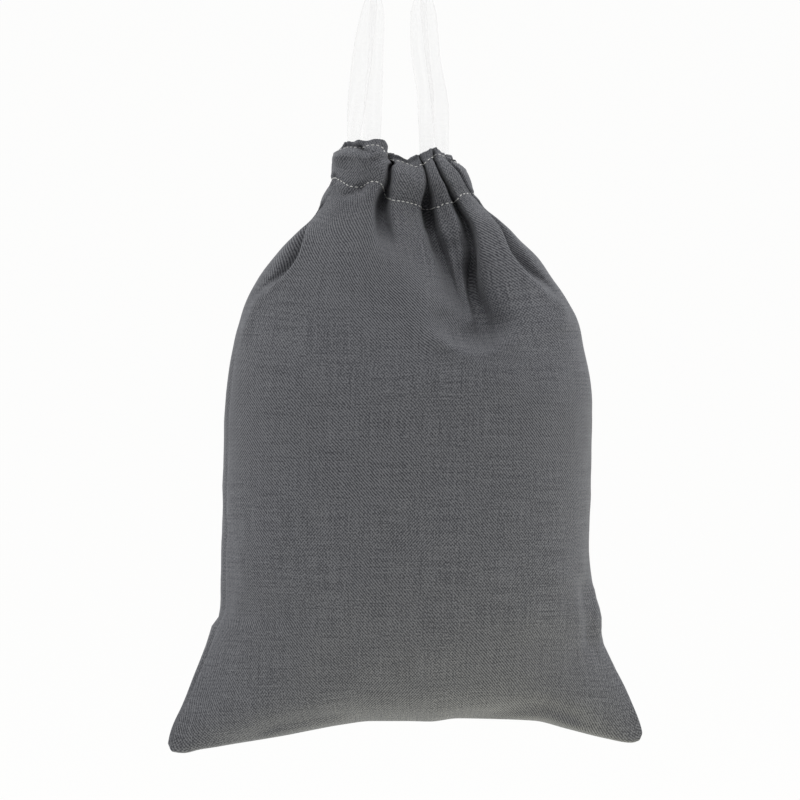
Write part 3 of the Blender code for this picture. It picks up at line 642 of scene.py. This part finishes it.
# Creases and soft hollows, as lines over the front (-1) or rear (1) face: how far each stands out, half its
# breadth, and its points across and up
Crease = namedtuple("Crease", "name face out breadth points")
CREASES = [
    Crease("puff_hangs_over", -1, -4.0, 2.5, [(-47, -134), (-36, -137.8), (-26, -134.6), (-19.5, -130.6)]),
    Crease("heading_tuck", -1, -3.0, 1.3,
           [(-43, -109.5), (-38.4, -107.9), (-33.5, -106.8), (-27.3, -107.8), (-21.1, -110.4),
            (-17.4, -112.8), (-12.4, -110.6), (-6.8, -108.7), (-3, -108.5)]),
    Crease("puff_top", -1, 3.0, 3.4,
           [(-41, -119), (-37, -114), (-32, -112), (-27, -112.8), (-22, -116), (-19, -121)]),
    Crease("puff_tuck", -1, -3.2, 1.5, [(-26.5, -107), (-23.4, -110.6), (-22.8, -114.6), (-21, -119)]),
    Crease("puff_ridge", -1, 2.8, 2.2, [(-20.8, -113.6), (-14.5, -111.8), (-8.0, -110.8), (-2.6, -111.6)]),
    Crease("under_puff_ridge", -1, -1.8, 2.0, [(-20, -118), (-14, -116.2), (-8, -115.4), (-3.4, -116.4)]),
    Crease("centre_heading_tuck", -1, -1.6, 1.2,
           [(-6, -114.5), (0.6, -115.6), (4.6, -118.4), (8.4, -115.8), (15, -113.6)]),
    Crease("basin_lip", -1, 3.4, 4.4,
           [(14, -218), (22, -227), (33, -233.5), (45, -236.4), (57, -233), (67, -226), (75, -213)]),
    Crease("right_shoulder", -1, 1.2, 7.0, [(95, -199), (99, -208), (99, -222)]),
    Crease("belly_line", -1, -1.0, 14.0, [(-40, -176), (-62, -214), (-78, -262)]),
    Crease("belly_rise", -1, 1.2, 20.0, [(4, -236), (-8, -290), (-14, -352)]),
    Crease("left_shoulder_edge", -1, 1.5, 3.0,
           [(-54, -149), (-57.6, -165), (-61.4, -175), (-66.6, -183.4), (-76, -192.5), (-86, -201),
            (-93, -216), (-99, -232)]),
    Crease("right_shoulder_edge", -1, 1.5, 3.0,
           [(52, -145), (60.4, -158.5), (66.2, -172), (73.4, -183), (81, -191.6), (90, -198),
            (98, -206), (104, -220)]),
    Crease("left_foot_ridge", -1, -1.4, 3.6,
           [(-128, -472), (-111.6, -472.8), (-89.3, -468.8), (-71.9, -461.4), (-45.3, -455.8),
            (-17, -455.4)]),
    Crease("left_foot_flap", -1, 3.2, 3.0,
           [(-92, -476), (-72, -468.6), (-58, -465.4), (-45, -462.8), (-28, -460.6)]),
    Crease("left_corner_pull", -1, 1.4, 6.0, [(-118, -424), (-104, -446), (-82, -462)]),
    Crease("left_seam_groove", -1, -1.3, 0.8,
           [(-93, -214), (-101.6, -234), (-105.4, -263), (-107.8, -322), (-108.4, -372), (-109.6, -394),
            (-116, -410), (-124.6, -432), (-137, -464)]),
    Crease("right_foot_ridge", -1, -1.6, 3.6,
           [(20, -456.8), (53.3, -456.7), (71.3, -452.2), (82.5, -450.6), (92.3, -452.0),
            (106, -457.0), (122, -465)]),
    Crease("right_foot_flap", -1, 3.6, 3.2,
           [(40, -464), (53, -463), (71, -459.8), (83, -458.6), (93, -460.2), (106, -465), (118, -471)]),
    Crease("right_side_fold", -1, 2.2, 2.4, [(117.5, -374), (120.6, -387.5), (122.0, -398), (121.8, -414)]),
    Crease("right_side_dip", -1, -2.0, 3.6, [(112, -370), (114.6, -388), (115.6, -404), (118, -424)]),
    Crease("left_side_dip", -1, -1.0, 5.0, [(-104, -330), (-104.5, -372), (-108, -402)]),
    Crease("rear_pull_left", 1, 1.6, 9.0, [(-46, -232), (-70, -268), (-86, -318)]),
    Crease("rear_pull_right", 1, 1.4, 10.0, [(52, -220), (74, -256), (92, -300)]),
    Crease("rear_hollow", 1, -3.0, 15.0, [(6, -196), (14, -216), (34, -236)]),
    Crease("rear_foot_ridge", 1, 2.2, 4.0, [(-96, -469), (-60, -457), (-10, -454), (44, -454), (88, -458)]),
]

# Broad hollows, written like the creases, which sink the whole face before its pleats are drawn in
HOLLOWS = [
    Crease("basin", -1, -12.0, 18.0, [(19, -150), (31, -176), (43, -198), (49, -209)]),
    Crease("basin_deepest", -1, -8.0, 11.0, [(42, -188), (47, -204), (48, -219)]),
    Crease("basin_foot", -1, -7.5, 8.0, [(27, -216), (38, -224.5), (50, -225.5), (60, -219)]),
    Crease("between_slits", -1, -7.0, 7.5, [(32, -172), (35, -188), (39, -204)]),
    Crease("centre_pleat_top", -1, -1.6, 7.5, [(-4, -120), (4, -121), (11, -122)]),
    Crease("under_centre_pleat", -1, -2.6, 8.5, [(-7, -160), (8, -175), (22, -189), (33, -201)]),
    Crease("rear_basin", 1, -6.0, 20.0, [(4, -170), (2, -196), (-12, -206)]),
]


def smooth(share):
    """A rise from 0 to 1 that starts and ends level."""
    share = np.clip(share, 0.0, 1.0)
    return share * share * (3 - 2 * share)


def half_width(height):
    """The middle and the half width of the bag at a height."""
    left = along(SIDES, "height", "left", height)
    right = along(SIDES, "height", "right", height)
    return (left + right) / 2, (right - left) / 2


def fold_angle(rows, rear, height):
    """Where a pleat's valley lies round the bag at a height, as an angle."""
    middle, half = half_width(height)
    across = along(rows, "height", "across", height)
    angle = np.arccos(np.clip(-(across - middle) / half, -SEAM_LIMIT, SEAM_LIMIT))
    return 2 * math.pi - angle if rear else angle


def keep_apart(valleys):
    """Narrows pleats that would run into each other or past a side seam."""
    for low, high in zip(valleys, valleys[1:]):
        space = high.angle - low.angle - FACE_LEAST
        narrower = min(1.0, space / (low.after + high.before))
        low.after *= narrower
        high.before *= narrower
    first, last = valleys[0], valleys[-1]
    first.before = min(first.before, first.angle - FACE_LEAST)
    last.after = min(last.after, 2 * math.pi - FACE_LEAST - last.angle)


def ring_plan(height):
    """The columns' angles round the neck at a height, how far each is drawn in, and how straight."""
    _, half = half_width(height)
    front = along(DEPTHS, "height", "front", height)
    valleys = []
    for gather in GATHERS:
        rear = gather.name in REAR_FOLDS
        rows = REAR_FOLDS[gather.name] if rear else FRONT_FOLDS[gather.name]
        lowest = min(row.height for row in rows)
        angle = float(fold_angle(rows, rear, max(height, lowest)))
        speed = math.hypot(half * math.sin(angle), front * math.cos(angle))
        before, after, opening = (
            float(along(rows, "height", size, height)) / speed for size in ("before", "after", "opening")
        )
        settle = float(smooth((lowest - height) / FOLD_SETTLES))
        angle += (gather.column * COLUMN_STEP - angle) * settle
        before += (FOLD_HALF * COLUMN_STEP - before) * settle
        after += (FOLD_HALF * COLUMN_STEP - after) * settle
        depth = float(along(rows, "height", "depth", height)) * (height > lowest)
        valleys.append(SimpleNamespace(column=gather.column, straight=gather.straight, angle=angle,
                                       before=before, after=after, opening=opening, depth=depth))
    keep_apart(valleys)
    knots = [(0.0, 0.0)]
    for valley in valleys:
        knots.append((valley.column - FOLD_HALF, valley.angle - valley.before))
        knots.append((valley.column + FOLD_HALF, valley.angle + valley.after))
    knots.append((float(COLUMNS), 2 * math.pi))
    angles = np.interp(np.arange(COLUMNS), *zip(*knots))
    inward = np.zeros(COLUMNS)
    straight = np.zeros(COLUMNS)
    offsets = np.arange(-FOLD_HALF, FOLD_HALF + 1)
    share = np.abs(offsets) / FOLD_HALF
    for valley in valleys:
        reach = np.where(offsets < 0, valley.before, valley.after)
        gap = np.minimum(valley.opening, reach / 2)
        away = gap * (1 - (1 - share) ** 4) + (reach - gap) * share**5
        angles[valley.column + offsets] = valley.angle + np.sign(offsets) * away
        inward[valley.column + offsets] = valley.depth * (1 - share) ** 2 * (1 + 2 * share)
        straight[valley.column + offsets] = valley.straight
    return angles, inward, straight


def column_heights(angles, nominal, casing_share):
    """The height of each column of one ring, from where the column stands round the bag."""
    degrees = np.degrees(angles)
    stitch = along(CASING_LINES, "angle", "stitch", degrees)
    if casing_share is not None:
        top = along(CASING_LINES, "angle", "top", degrees)
        return stitch + (top - stitch) * casing_share
    raised = 1 - smooth((STITCH - nominal) / (STITCH - SHIFT_ENDS))
    lifted = 1 - smooth((nominal - FOOT) / FOOT_FADES)
    foot = along(FOOT_FOLD, "station", "height", -np.cos(angles))
    return nominal + (stitch - STITCH) * raised + lifted * (foot - FOOT)


def plan_tables():
    """Ring plans at close heights, so that each column can be read at its own height."""
    heights = np.arange(PLAIN_BELOW, PLAN_TOP, PLAN_STEP)
    return heights, np.array([ring_plan(height) for height in heights])


def read_plan(height, heights, plans):
    """The plan of each column at that column's own height."""
    place = np.clip((height - heights[0]) / (heights[1] - heights[0]), 0, len(heights) - 1.001)
    low = place.astype(int)
    share = place - low
    column = np.arange(COLUMNS)
    return plans[low, :, column].T * (1 - share) + plans[low + 1, :, column].T * share


def outward(points):
    """The outward direction at each point of a closed ring, level with the ring."""
    across = np.roll(points, -1, axis=0)[:, :2] - np.roll(points, 1, axis=0)[:, :2]
    across /= np.linalg.norm(across, axis=1)[:, None]
    return np.column_stack([across[:, 1], -across[:, 0], np.zeros(len(across))])


def outline(angles, height, level):
    """Points of a ring before its pleats are drawn in."""
    middle, half = half_width(height)
    x = middle - half * np.cos(angles)
    front, rear, square, ear = (along(DEPTHS, "height", column, level) for column in Depth._fields[1:])
    bulge = np.clip(1 - np.abs(np.cos(angles)) ** square, 0, 1) ** ear
    edge = np.clip((1 - np.abs(np.cos(angles))) * half / EDGE_ROUND, 0, 1)
    layers = LAYER_GAP * np.sqrt(1 - (1 - edge) ** 2)
    facing = np.sin(angles)
    depth = np.where(facing > 0, front, rear)
    side = np.where(np.abs(facing) < 1e-6, 0.0, np.sign(facing))
    return np.column_stack([x, -side * (depth * bulge + layers), height])


def distance_to(line, x, z):
    """Distance from points to a line of short runs, and how far along it the nearest place is."""
    best = np.full(x.shape, 1e9)
    share = np.zeros(x.shape)
    ends = np.array(line, float)
    runs = np.linalg.norm(np.diff(ends, axis=0), axis=1)
    total, done = runs.sum(), 0.0
    for (x0, z0), (x1, z1), run in zip(ends, ends[1:], runs):
        t = np.clip(((x - x0) * (x1 - x0) + (z - z0) * (z1 - z0)) / run**2, 0, 1)
        away = np.hypot(x - x0 - t * (x1 - x0), z - z0 - t * (z1 - z0))
        nearer = away < best
        best[nearer] = away[nearer]
        share[nearer] = ((done + t * run) / total)[nearer]
        done += run
    return best, share


def hollowed(points, facing):
    """Sinks the outline towards the middle of the bag where a broad hollow lies."""
    sink = np.zeros(len(points))
    for hollow in HOLLOWS:
        away, _ = distance_to(hollow.points, points[:, 0], points[:, 2])
        same_face = smooth(-hollow.face * facing * HOLLOW_STOPS)
        sink += hollow.out * np.exp(-(away / hollow.breadth) ** 2) * same_face
    points[:, 1] -= np.sign(facing) * sink
    return points


def creased(points, out, facing):
    """Moves the points of one ring out or in where a crease crosses it."""
    amount = np.zeros(len(points))
    for crease in CREASES:
        away, share = distance_to(crease.points, points[:, 0], points[:, 2])
        fade = smooth(share / CREASE_ENDS) * smooth((1 - share) / CREASE_ENDS)
        same_face = smooth(-crease.face * facing * CREASE_STOPS)
        amount += crease.out * np.exp(-(away / crease.breadth) ** 2) * fade * same_face
    return points + out * amount[:, None]


def bag_grid():
    """Every ring of points of the bag, from the foot to the top edge."""
    table_heights, plans = plan_tables()
    even = np.arange(COLUMNS) * COLUMN_STEP
    levels = [(nominal, None) for nominal in (*FOOT_RINGS, *BODY_RINGS, *NECK_RINGS)]
    levels += [(STITCH, share) for share in np.linspace(0, 1, CASING_RINGS)]
    rings = []
    for nominal, share in levels:
        level = nominal if share is None else STITCH + (MOUTH - STITCH) * share
        angles, inward, straight = even, np.zeros(COLUMNS), np.zeros(COLUMNS)
        height = column_heights(angles, nominal, share)
        if level > PLAIN_BELOW:
            for _ in range(PLAN_ROUNDS):
                angles, inward, straight = read_plan(height, table_heights, plans)
                height = column_heights(angles, nominal, share)
        facing = np.sin(angles)
        points = hollowed(outline(angles, height, level), facing)
        out = outward(points)
        into = -out
        into[:, 0] *= 1 - straight
        into /= np.linalg.norm(into, axis=1)[:, None]
        folded = points + into * inward[:, None]
        flat = 1 - np.clip(inward / RELIEF_ENDS, 0, 1)[:, None]
        ring = creased(folded, out * flat, facing)
        ring = fine_relief(ring, out * flat, nominal, share)
        rings.append(ring)
    return rings


GROOVE_DEEP = 0.7            # how far the stitches pull the cloth in
LOW_GROOVE, HIGH_GROOVE = 1.3, 1.2   # half breadth of the groove at the lower and the upper row
FRILL_LEAN = 0.15            # how far the frill leans in for each millimetre of its height
PUCKER_PITCH = 6.3           # from one pucker to the next
LOW_PUCKER, HIGH_PUCKER = 0.42, 0.38   # how far the puckers stand out near each row
FRILL_WAVE, FRILL_RISE = 1.7, 0.8      # how far the frill waves out and up
FRILL_GROWS = 4.0            # the height over which its waves grow
UNEVEN = 0.75                # how far the whole cloth is from smooth


def fine_relief(ring, out, nominal, share):
    """The groove and puckers at both rows of stitches, the frill above them, and a soft unevenness."""
    column = np.arange(COLUMNS)
    cloth = column * ROUND_BAG / MM / COLUMNS
    casing = MOUTH - STITCH
    low = (nominal - STITCH) if share is None else share * casing
    high = low - TOP_STITCH * casing
    groove = -GROOVE_DEEP * np.exp(-(low / LOW_GROOVE) ** 2)
    if low > 0:
        groove -= GROOVE_DEEP * np.exp(-(min(high, 0.0) / HIGH_GROOVE) ** 2) + FRILL_LEAN * max(high, 0.0)
    wobble = np.array([noise.noise(Vector((c * 0.11, low * 0.04, 3.0))) for c in cloth])
    pucker = np.sin(cloth * 2 * math.pi / PUCKER_PITCH + 5 * wobble)
    near = LOW_PUCKER * np.exp(-((abs(low) - 3.2) / 2.6) ** 2)
    near += HIGH_PUCKER * np.exp(-((high + 3.0) / 2.0) ** 2)
    soft = np.array([noise.noise(Vector(point) * 0.035) + 0.4 * noise.noise(Vector(point) * 0.09)
                     for point in ring])
    frill = 0.0
    if low > 0:
        wave = np.array([noise.noise(Vector((c * 0.16, 9.0, 0.0))) for c in cloth])
        grown = smooth(high / FRILL_GROWS)
        frill = grown * FRILL_WAVE * wave
        ring = ring + np.column_stack([np.zeros((COLUMNS, 2)), grown * FRILL_RISE * wave])
    amount = groove + near * pucker + UNEVEN * soft + frill
    return ring + out * np.asarray(amount)[:, None]


def foot_line():
    """The line of the fold at the foot, from the left corner to the right one."""
    stations = -np.cos(np.arange(COLUMNS // 2 + 1) * COLUMN_STEP)
    height = along(FOOT_FOLD, "station", "height", stations)
    middle, half = half_width(height)
    return np.column_stack([middle + half * stations, np.zeros(len(stations)), height])


def steps(number):
    """How a number on a grid changes from column to column and from row to row."""
    return np.diff(number, axis=1), np.diff(number, axis=0)


def gather(across, up):
    """What each point of a grid gets from the steps before it, less the steps after it."""
    total = np.zeros((up.shape[0] + 1, across.shape[1] + 1))
    total[:, 1:] += across
    total[:, :-1] -= across
    total[1:] += up
    total[:-1] -= up
    return total


def settle(total):
    """The number on a grid whose plain steps gather to the total asked for."""
    mirrored = np.block([[total, total[:, ::-1]], [total[::-1], total[::-1, ::-1]]])
    rows, columns = (2 - 2 * np.cos(2 * math.pi * np.arange(n) / n) for n in mirrored.shape)
    stiff = rows[:, None] + columns
    stiff[0, 0] = 1.0
    return np.fft.ifft2(np.fft.fft2(mirrored) / stiff).real[:total.shape[0], :total.shape[1]]


SPREAD_ROUNDS = 40           # rounds that settle the flat places
SHORTEST_STEP = 0.3          # a step shorter than this weighs no more than one of this length


def spread(across, up, across_weight, up_weight):
    """A number on a grid whose steps come as near as they can to those asked for, each by its weight."""
    number = np.zeros((up.shape[0] + 1, across.shape[1] + 1))
    left = gather(across_weight * across, up_weight * up)
    push = ready = settle(left)
    for _ in range(SPREAD_ROUNDS):
        changes = steps(push)
        answer = gather(across_weight * changes[0], up_weight * changes[1])
        size = (left * ready).sum() / (push * answer).sum()
        number += size * push
        after = left - size * answer
        ready_after = settle(after)
        push = ready_after + push * (after * ready_after).sum() / (left * ready).sum()
        left, ready = after, ready_after
    return number


def flat_panel(grid):
    """Where each point of a panel lies in the flat cloth, in metres, with the weft along the rings."""
    tangent = np.gradient(grid, axis=1)
    tangent /= np.linalg.norm(tangent, axis=2)[:, :, None]
    level = tangent[:-1] + tangent[1:]
    level /= np.linalg.norm(level, axis=2)[:, :, None]
    up = np.diff(grid, axis=0)
    lean = (up * level).sum(axis=2)
    rise = np.sqrt(np.maximum((up * up).sum(axis=2) - lean**2, 0))
    length = np.linalg.norm(np.diff(grid, axis=1), axis=2)
    across_weight = np.maximum(length, SHORTEST_STEP) ** -2
    up_weight = np.maximum(np.linalg.norm(up, axis=2), SHORTEST_STEP) ** -2
    u = spread(length, lean, across_weight, up_weight)
    v = spread(length * 0, rise, across_weight, up_weight)
    return np.dstack([u, v]) * MM


def bag_mesh(rings, material):
    """The cloth as a front and a rear panel that share the side seams and the fold at the foot."""
    half = COLUMNS // 2
    points = np.concatenate([foot_line(), *rings])
    wall = np.arange(len(rings))[:, None] * COLUMNS + half + 1
    front = np.vstack([np.arange(half + 1), wall + np.arange(half + 1)])
    rear = np.vstack([np.arange(half, -1, -1), wall + np.arange(half, COLUMNS + 1) % COLUMNS])
    faces, places = [], []
    for panel in (front, rear):
        flat = flat_panel(points[panel])
        for row in range(len(rings)):
            for i in range(half):
                corners = (row, i), (row, i + 1), (row + 1, i + 1), (row + 1, i)
                faces.append([int(panel[corner]) for corner in corners])
                places += [flat[corner] for corner in corners]
    return mesh_piece("linen_bag", points, faces, places, material)


LINEN_DARK = (0.046, 0.047, 0.054, 1)
LINEN_MID = (0.102, 0.104, 0.114, 1)
LINEN_LIGHT = (0.190, 0.193, 0.205, 1)
WARP = 0.90 * MM             # from one upright thread to the next
WEFT = 1.10 * MM             # from one level thread to the next


def make_linen():
    """Dark slate linen: a plain weave of uneven mixed yarns, with thicker slubs and a few pale specks."""
    material, tree = new_material("linen_slate")
    place = add_node(tree, "UVMap", {}, uv_map="cloth").outputs["UV"]
    spot = add_node(tree, "SeparateXYZ", {0: place}).outputs

    def grain(scale_u, scale_v, detail):
        stretched = add_node(tree, "Mapping", {"Vector": place, "Scale": (scale_u, scale_v, 1)}).outputs[0]
        inputs = {"Vector": stretched, "Scale": 1.0, "Detail": detail}
        return add_node(tree, "TexNoise", inputs, noise_dimensions="2D").outputs["Fac"]

    def product(first, second):
        return math_node(tree, "MULTIPLY", first, second)

    def product_and(first, second, third):
        return math_node(tree, "MULTIPLY_ADD", first, second, third)

    # Waves across and up the cloth, one for each thread, which wander a little
    warp = product_and(spot["X"], math.pi / WARP, product(grain(55, 160, 2.0), 3.0))
    weft = product_and(spot["Y"], math.pi / WEFT, product(grain(150, 60, 2.0), 3.0))
    # Where one thread lies over the other: the crossings lean one way here and the other way there
    falling = math_node(tree, "COSINE", math_node(tree, "ADD", warp, weft))
    rising = math_node(tree, "COSINE", math_node(tree, "SUBTRACT", warp, weft))
    slant = product_and(grain(11, 11, 1.0), 1.9, -0.2)
    over = product_and(math_node(tree, "SUBTRACT", falling, rising), slant, rising)
    # Each yarn has its own tone, with small pale specks, and the weave shows more in some places
    warp_yarn = grain(1050, 34, 2.0)
    weft_yarn = grain(30, 930, 2.0)
    fleck = grain(1000, 860, 1.0)
    yarns = math_node(tree, "ADD", product(warp_yarn, 0.36), product(weft_yarn, 0.38))
    mixed = product_and(fleck, 0.90, yarns)
    clearness = product_and(grain(9, 8, 1.0), 0.4, 0.10)
    tone = product_and(over, clearness, mixed)
    relief = product_and(over, 0.5, product(mixed, 0.35))
    bump = add_node(tree, "Bump", {"Strength": 0.55, "Distance": 0.22 * MM, "Height": relief})
    join(tree, tree.nodes["Principled BSDF"], {
        "Base Color": colour_ramp(tree, tone, (0.36, LINEN_DARK), (0.80, LINEN_MID), (1.0, LINEN_LIGHT)),
        "Roughness": 0.92, "Specular IOR Level": 0.18, "Sheen Weight": 0.16, "Sheen Roughness": 0.45,
        "Sheen Tint": (0.80, 0.82, 0.86, 1), "Normal": bump.outputs["Normal"],
    })
    return material


rings = bag_grid()
linen = make_linen()
bag = bag_mesh(rings, linen)
hem = bag.vertex_groups.new(name="hem")
for row, share in enumerate(np.linspace(0, 1, CASING_RINGS)):
    start = COLUMNS // 2 + 1 + (len(rings) - CASING_RINGS + row) * COLUMNS
    weight = float(smooth((share - TOP_STITCH + HEM_BLEND / 2) / HEM_BLEND))
    hem.add(list(range(start, start + COLUMNS)), weight, "REPLACE")
wall = bag.modifiers.new("wall", "SOLIDIFY")
wall.thickness = HEM_THICK * MM
wall.thickness_vertex_group = CLOTH_THICK / HEM_THICK
wall.vertex_group = hem.name
wall.offset = -1
bpy.ops.object.select_all(action="DESELECT")
bpy.context.view_layer.objects.active = bag
bag.select_set(True)
bpy.ops.object.modifier_apply(modifier=wall.name)
bag.select_set(False)
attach(bag, "root")
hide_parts("bag_cloth")


# Stitches
# Two rows of pale cotton lockstitch hold the casing: one along its foot and one just under the top edge.
# The stitches are about 2 mm long with a short gap between them, and sink a little into the cloth.
STITCH_PITCH = 3.1
STITCH_HALF = (1.02, 0.36, 0.28)   # half its length, width and height
STITCH_LIFT = 0.22           # how far its middle stands off the cloth
THREAD_LIGHT = (0.80, 0.80, 0.78, 1)
THREAD_DARK = (0.58, 0.58, 0.56, 1)
THREAD_TWIST = 900.0         # scale of the twist


def make_thread():
    """Pale cotton thread, twisted, with a soft dull surface."""
    material, tree = new_material("thread_pale")
    place = add_node(tree, "TexCoord", {}).outputs["Object"]
    twist = add_node(tree, "TexWave", {"Vector": place, "Scale": THREAD_TWIST}, bands_direction="DIAGONAL")
    colour = colour_ramp(tree, twist.outputs["Fac"], (0.0, THREAD_DARK), (1.0, THREAD_LIGHT))
    join(tree, tree.nodes["Principled BSDF"], {"Base Color": colour, "Roughness": 0.7})
    return material


def stitch_row(name, row):
    """One row of stitches laid on a ring of the bag, each copied from one modelled stitch."""
    bpy.ops.object.select_all(action="DESELECT")
    bpy.ops.mesh.primitive_uv_sphere_add(segments=8, ring_count=6, radius=1.0)
    pattern = bpy.context.active_object
    shape = np.array([vert.co for vert in pattern.data.vertices]) * STITCH_HALF
    corners = [tuple(face.vertices) for face in pattern.data.polygons]
    bpy.data.objects.remove(pattern, do_unlink=True)
    ring, above, below = rings[row], rings[min(row + 1, len(rings) - 1)], rings[row - 1]
    reach = np.linalg.norm(np.roll(ring, -1, axis=0) - ring, axis=1)
    passed = np.concatenate([[0], np.cumsum(reach)])
    spaced = np.arange(0, passed[-1] - STITCH_PITCH, STITCH_PITCH)
    places = np.interp(spaced, passed, np.arange(COLUMNS + 1))
    points, faces = [], []
    for place in places:
        low, share = int(place), place % 1
        after = (low + 1) % COLUMNS
        middle = ring[low] * (1 - share) + ring[after] * share
        ahead = Vector(ring[after] - ring[low]).normalized()
        up = Vector(above[low] - below[low]).normalized()
        out = ahead.cross(up).normalized()
        turn = Matrix((ahead, out.cross(ahead), out)).transposed()
        start = len(points)
        points += [np.array(turn @ Vector(spot)) + middle + np.array(out) * STITCH_LIFT for spot in shape]
        faces += [tuple(start + corner for corner in face) for face in corners]
    return mesh_piece(name, points, faces, np.zeros((sum(map(len, faces)), 2)), thread)


thread = make_thread()
first_casing_ring = len(rings) - CASING_RINGS
for name, share in (("casing_stitches_low", 0.0), ("casing_stitches_high", TOP_STITCH)):
    row = stitch_row(name, first_casing_ring + round(share * (CASING_RINGS - 1)))
    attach(row, "root")


# Studio
# A white sweep of paper, lit from below and behind, runs from the floor up behind the bag. The room is bright
# behind and above and dim towards the camera, with large soft lamps above, at both sides and under the bag.
FLOOR = -750.0
SWEEP_FRONT, SWEEP_BACK, SWEEP_BEND, SWEEP_TOP, SWEEP_HALF = -9000.0, 4200.0, 900.0, 2600.0, 9000.0
LIT_FROM, DIM_FROM = -300.0, -1200.0   # the paper is lit behind the first and dim in front of the second
PAPER_LIT, PAPER_DIM = 0.938, 0.20
PAPER_WHITE = (1.0, 1.0, 0.995, 1)
PAPER_BASE = (0.05, 0.05, 0.05, 1)
SWEEP_STEPS = 16
ROOM_DIM_WAY = (0.0, -0.80, -0.60)     # towards the camera and the floor
ROOM_EDGES, ROOM_LIGHT = (0.05, 0.90), (0.98, 0.12)   # where it starts and ends to dim, and its light there
LAMPS_AIM = (0.0, 0.0, -0.28)


def make_paper():
    """White paper that glows evenly round the bag and falls dim towards the camera."""
    material, tree = new_material("paper_white")
    place = add_node(tree, "TexCoord", {}).outputs["Object"]
    back = add_node(tree, "SeparateXYZ", {0: place}).outputs["Y"]
    glow = ranged(tree, back, (DIM_FROM * MM, LIT_FROM * MM), (PAPER_DIM, PAPER_LIT),
                  interpolation_type="SMOOTHSTEP")
    join(tree, tree.nodes["Principled BSDF"], {
        "Base Color": PAPER_BASE, "Emission Color": PAPER_WHITE, "Emission Strength": glow,
        "Roughness": 1.0, "Specular IOR Level": 0.0,
    })
    return material


def make_room():
    """The light of the room, bright above and behind the bag and dim towards the camera."""
    world = bpy.data.worlds.new("studio")
    world.use_nodes = True
    tree = world.node_tree
    way = add_node(tree, "TexCoord", {}).outputs["Generated"]
    dim_side = add_node(tree, "VectorMath", {0: way, 1: ROOM_DIM_WAY}, operation="DOT_PRODUCT")
    light = ranged(tree, dim_side.outputs["Value"], ROOM_EDGES, ROOM_LIGHT)
    join(tree, tree.nodes["Background"], {"Color": (1, 1, 1, 1), "Strength": light})
    return world


profile = [(SWEEP_FRONT, FLOOR)]
for step in range(SWEEP_STEPS + 1):
    a = math.pi / 2 * step / SWEEP_STEPS
    back = SWEEP_BACK - SWEEP_BEND * (1 - math.sin(a))
    profile.append((back, FLOOR + SWEEP_BEND * (1 - math.cos(a))))
profile.append((SWEEP_BACK, SWEEP_TOP))
sweep_points = [(x, y, z) for x in (-SWEEP_HALF, SWEEP_HALF) for y, z in profile]
count = len(profile)
sweep_faces = [(i, count + i, count + i + 1, i + 1) for i in range(count - 1)]
sweep = mesh_piece("sweep", sweep_points, sweep_faces, np.zeros((4 * len(sweep_faces), 2)), make_paper())
bpy.context.scene.world = make_room()

Lamp = namedtuple("Lamp", "name place size power colour")
LAMPS = [
    Lamp("soft_top_front", (-0.3, -1.5, 1.9), 1.4, 13.0, (1.0, 1.0, 1.0)),
    Lamp("soft_left", (-1.9, 0.3, 0.2), 1.4, 6.0, (1.0, 1.0, 1.0)),
    Lamp("soft_right", (1.9, 0.3, 0.1), 1.4, 10.0, (1.0, 1.0, 1.0)),
    Lamp("floor_glow", (0.05, 0.0, -0.74), 0.7, 1.7, (1.0, 0.96, 0.62)),
]
for lamp in LAMPS:
    light = bpy.data.lights.new(lamp.name, "AREA")
    light.size = lamp.size
    light.energy = lamp.power
    light.color = lamp.colour
    holder = bpy.data.objects.new(lamp.name, light)
    holder.location = lamp.place
    aim = Vector(LAMPS_AIM) - Vector(lamp.place)
    holder.rotation_euler = aim.to_track_quat("-Z", "Y").to_euler()
    bpy.context.scene.collection.objects.link(holder)
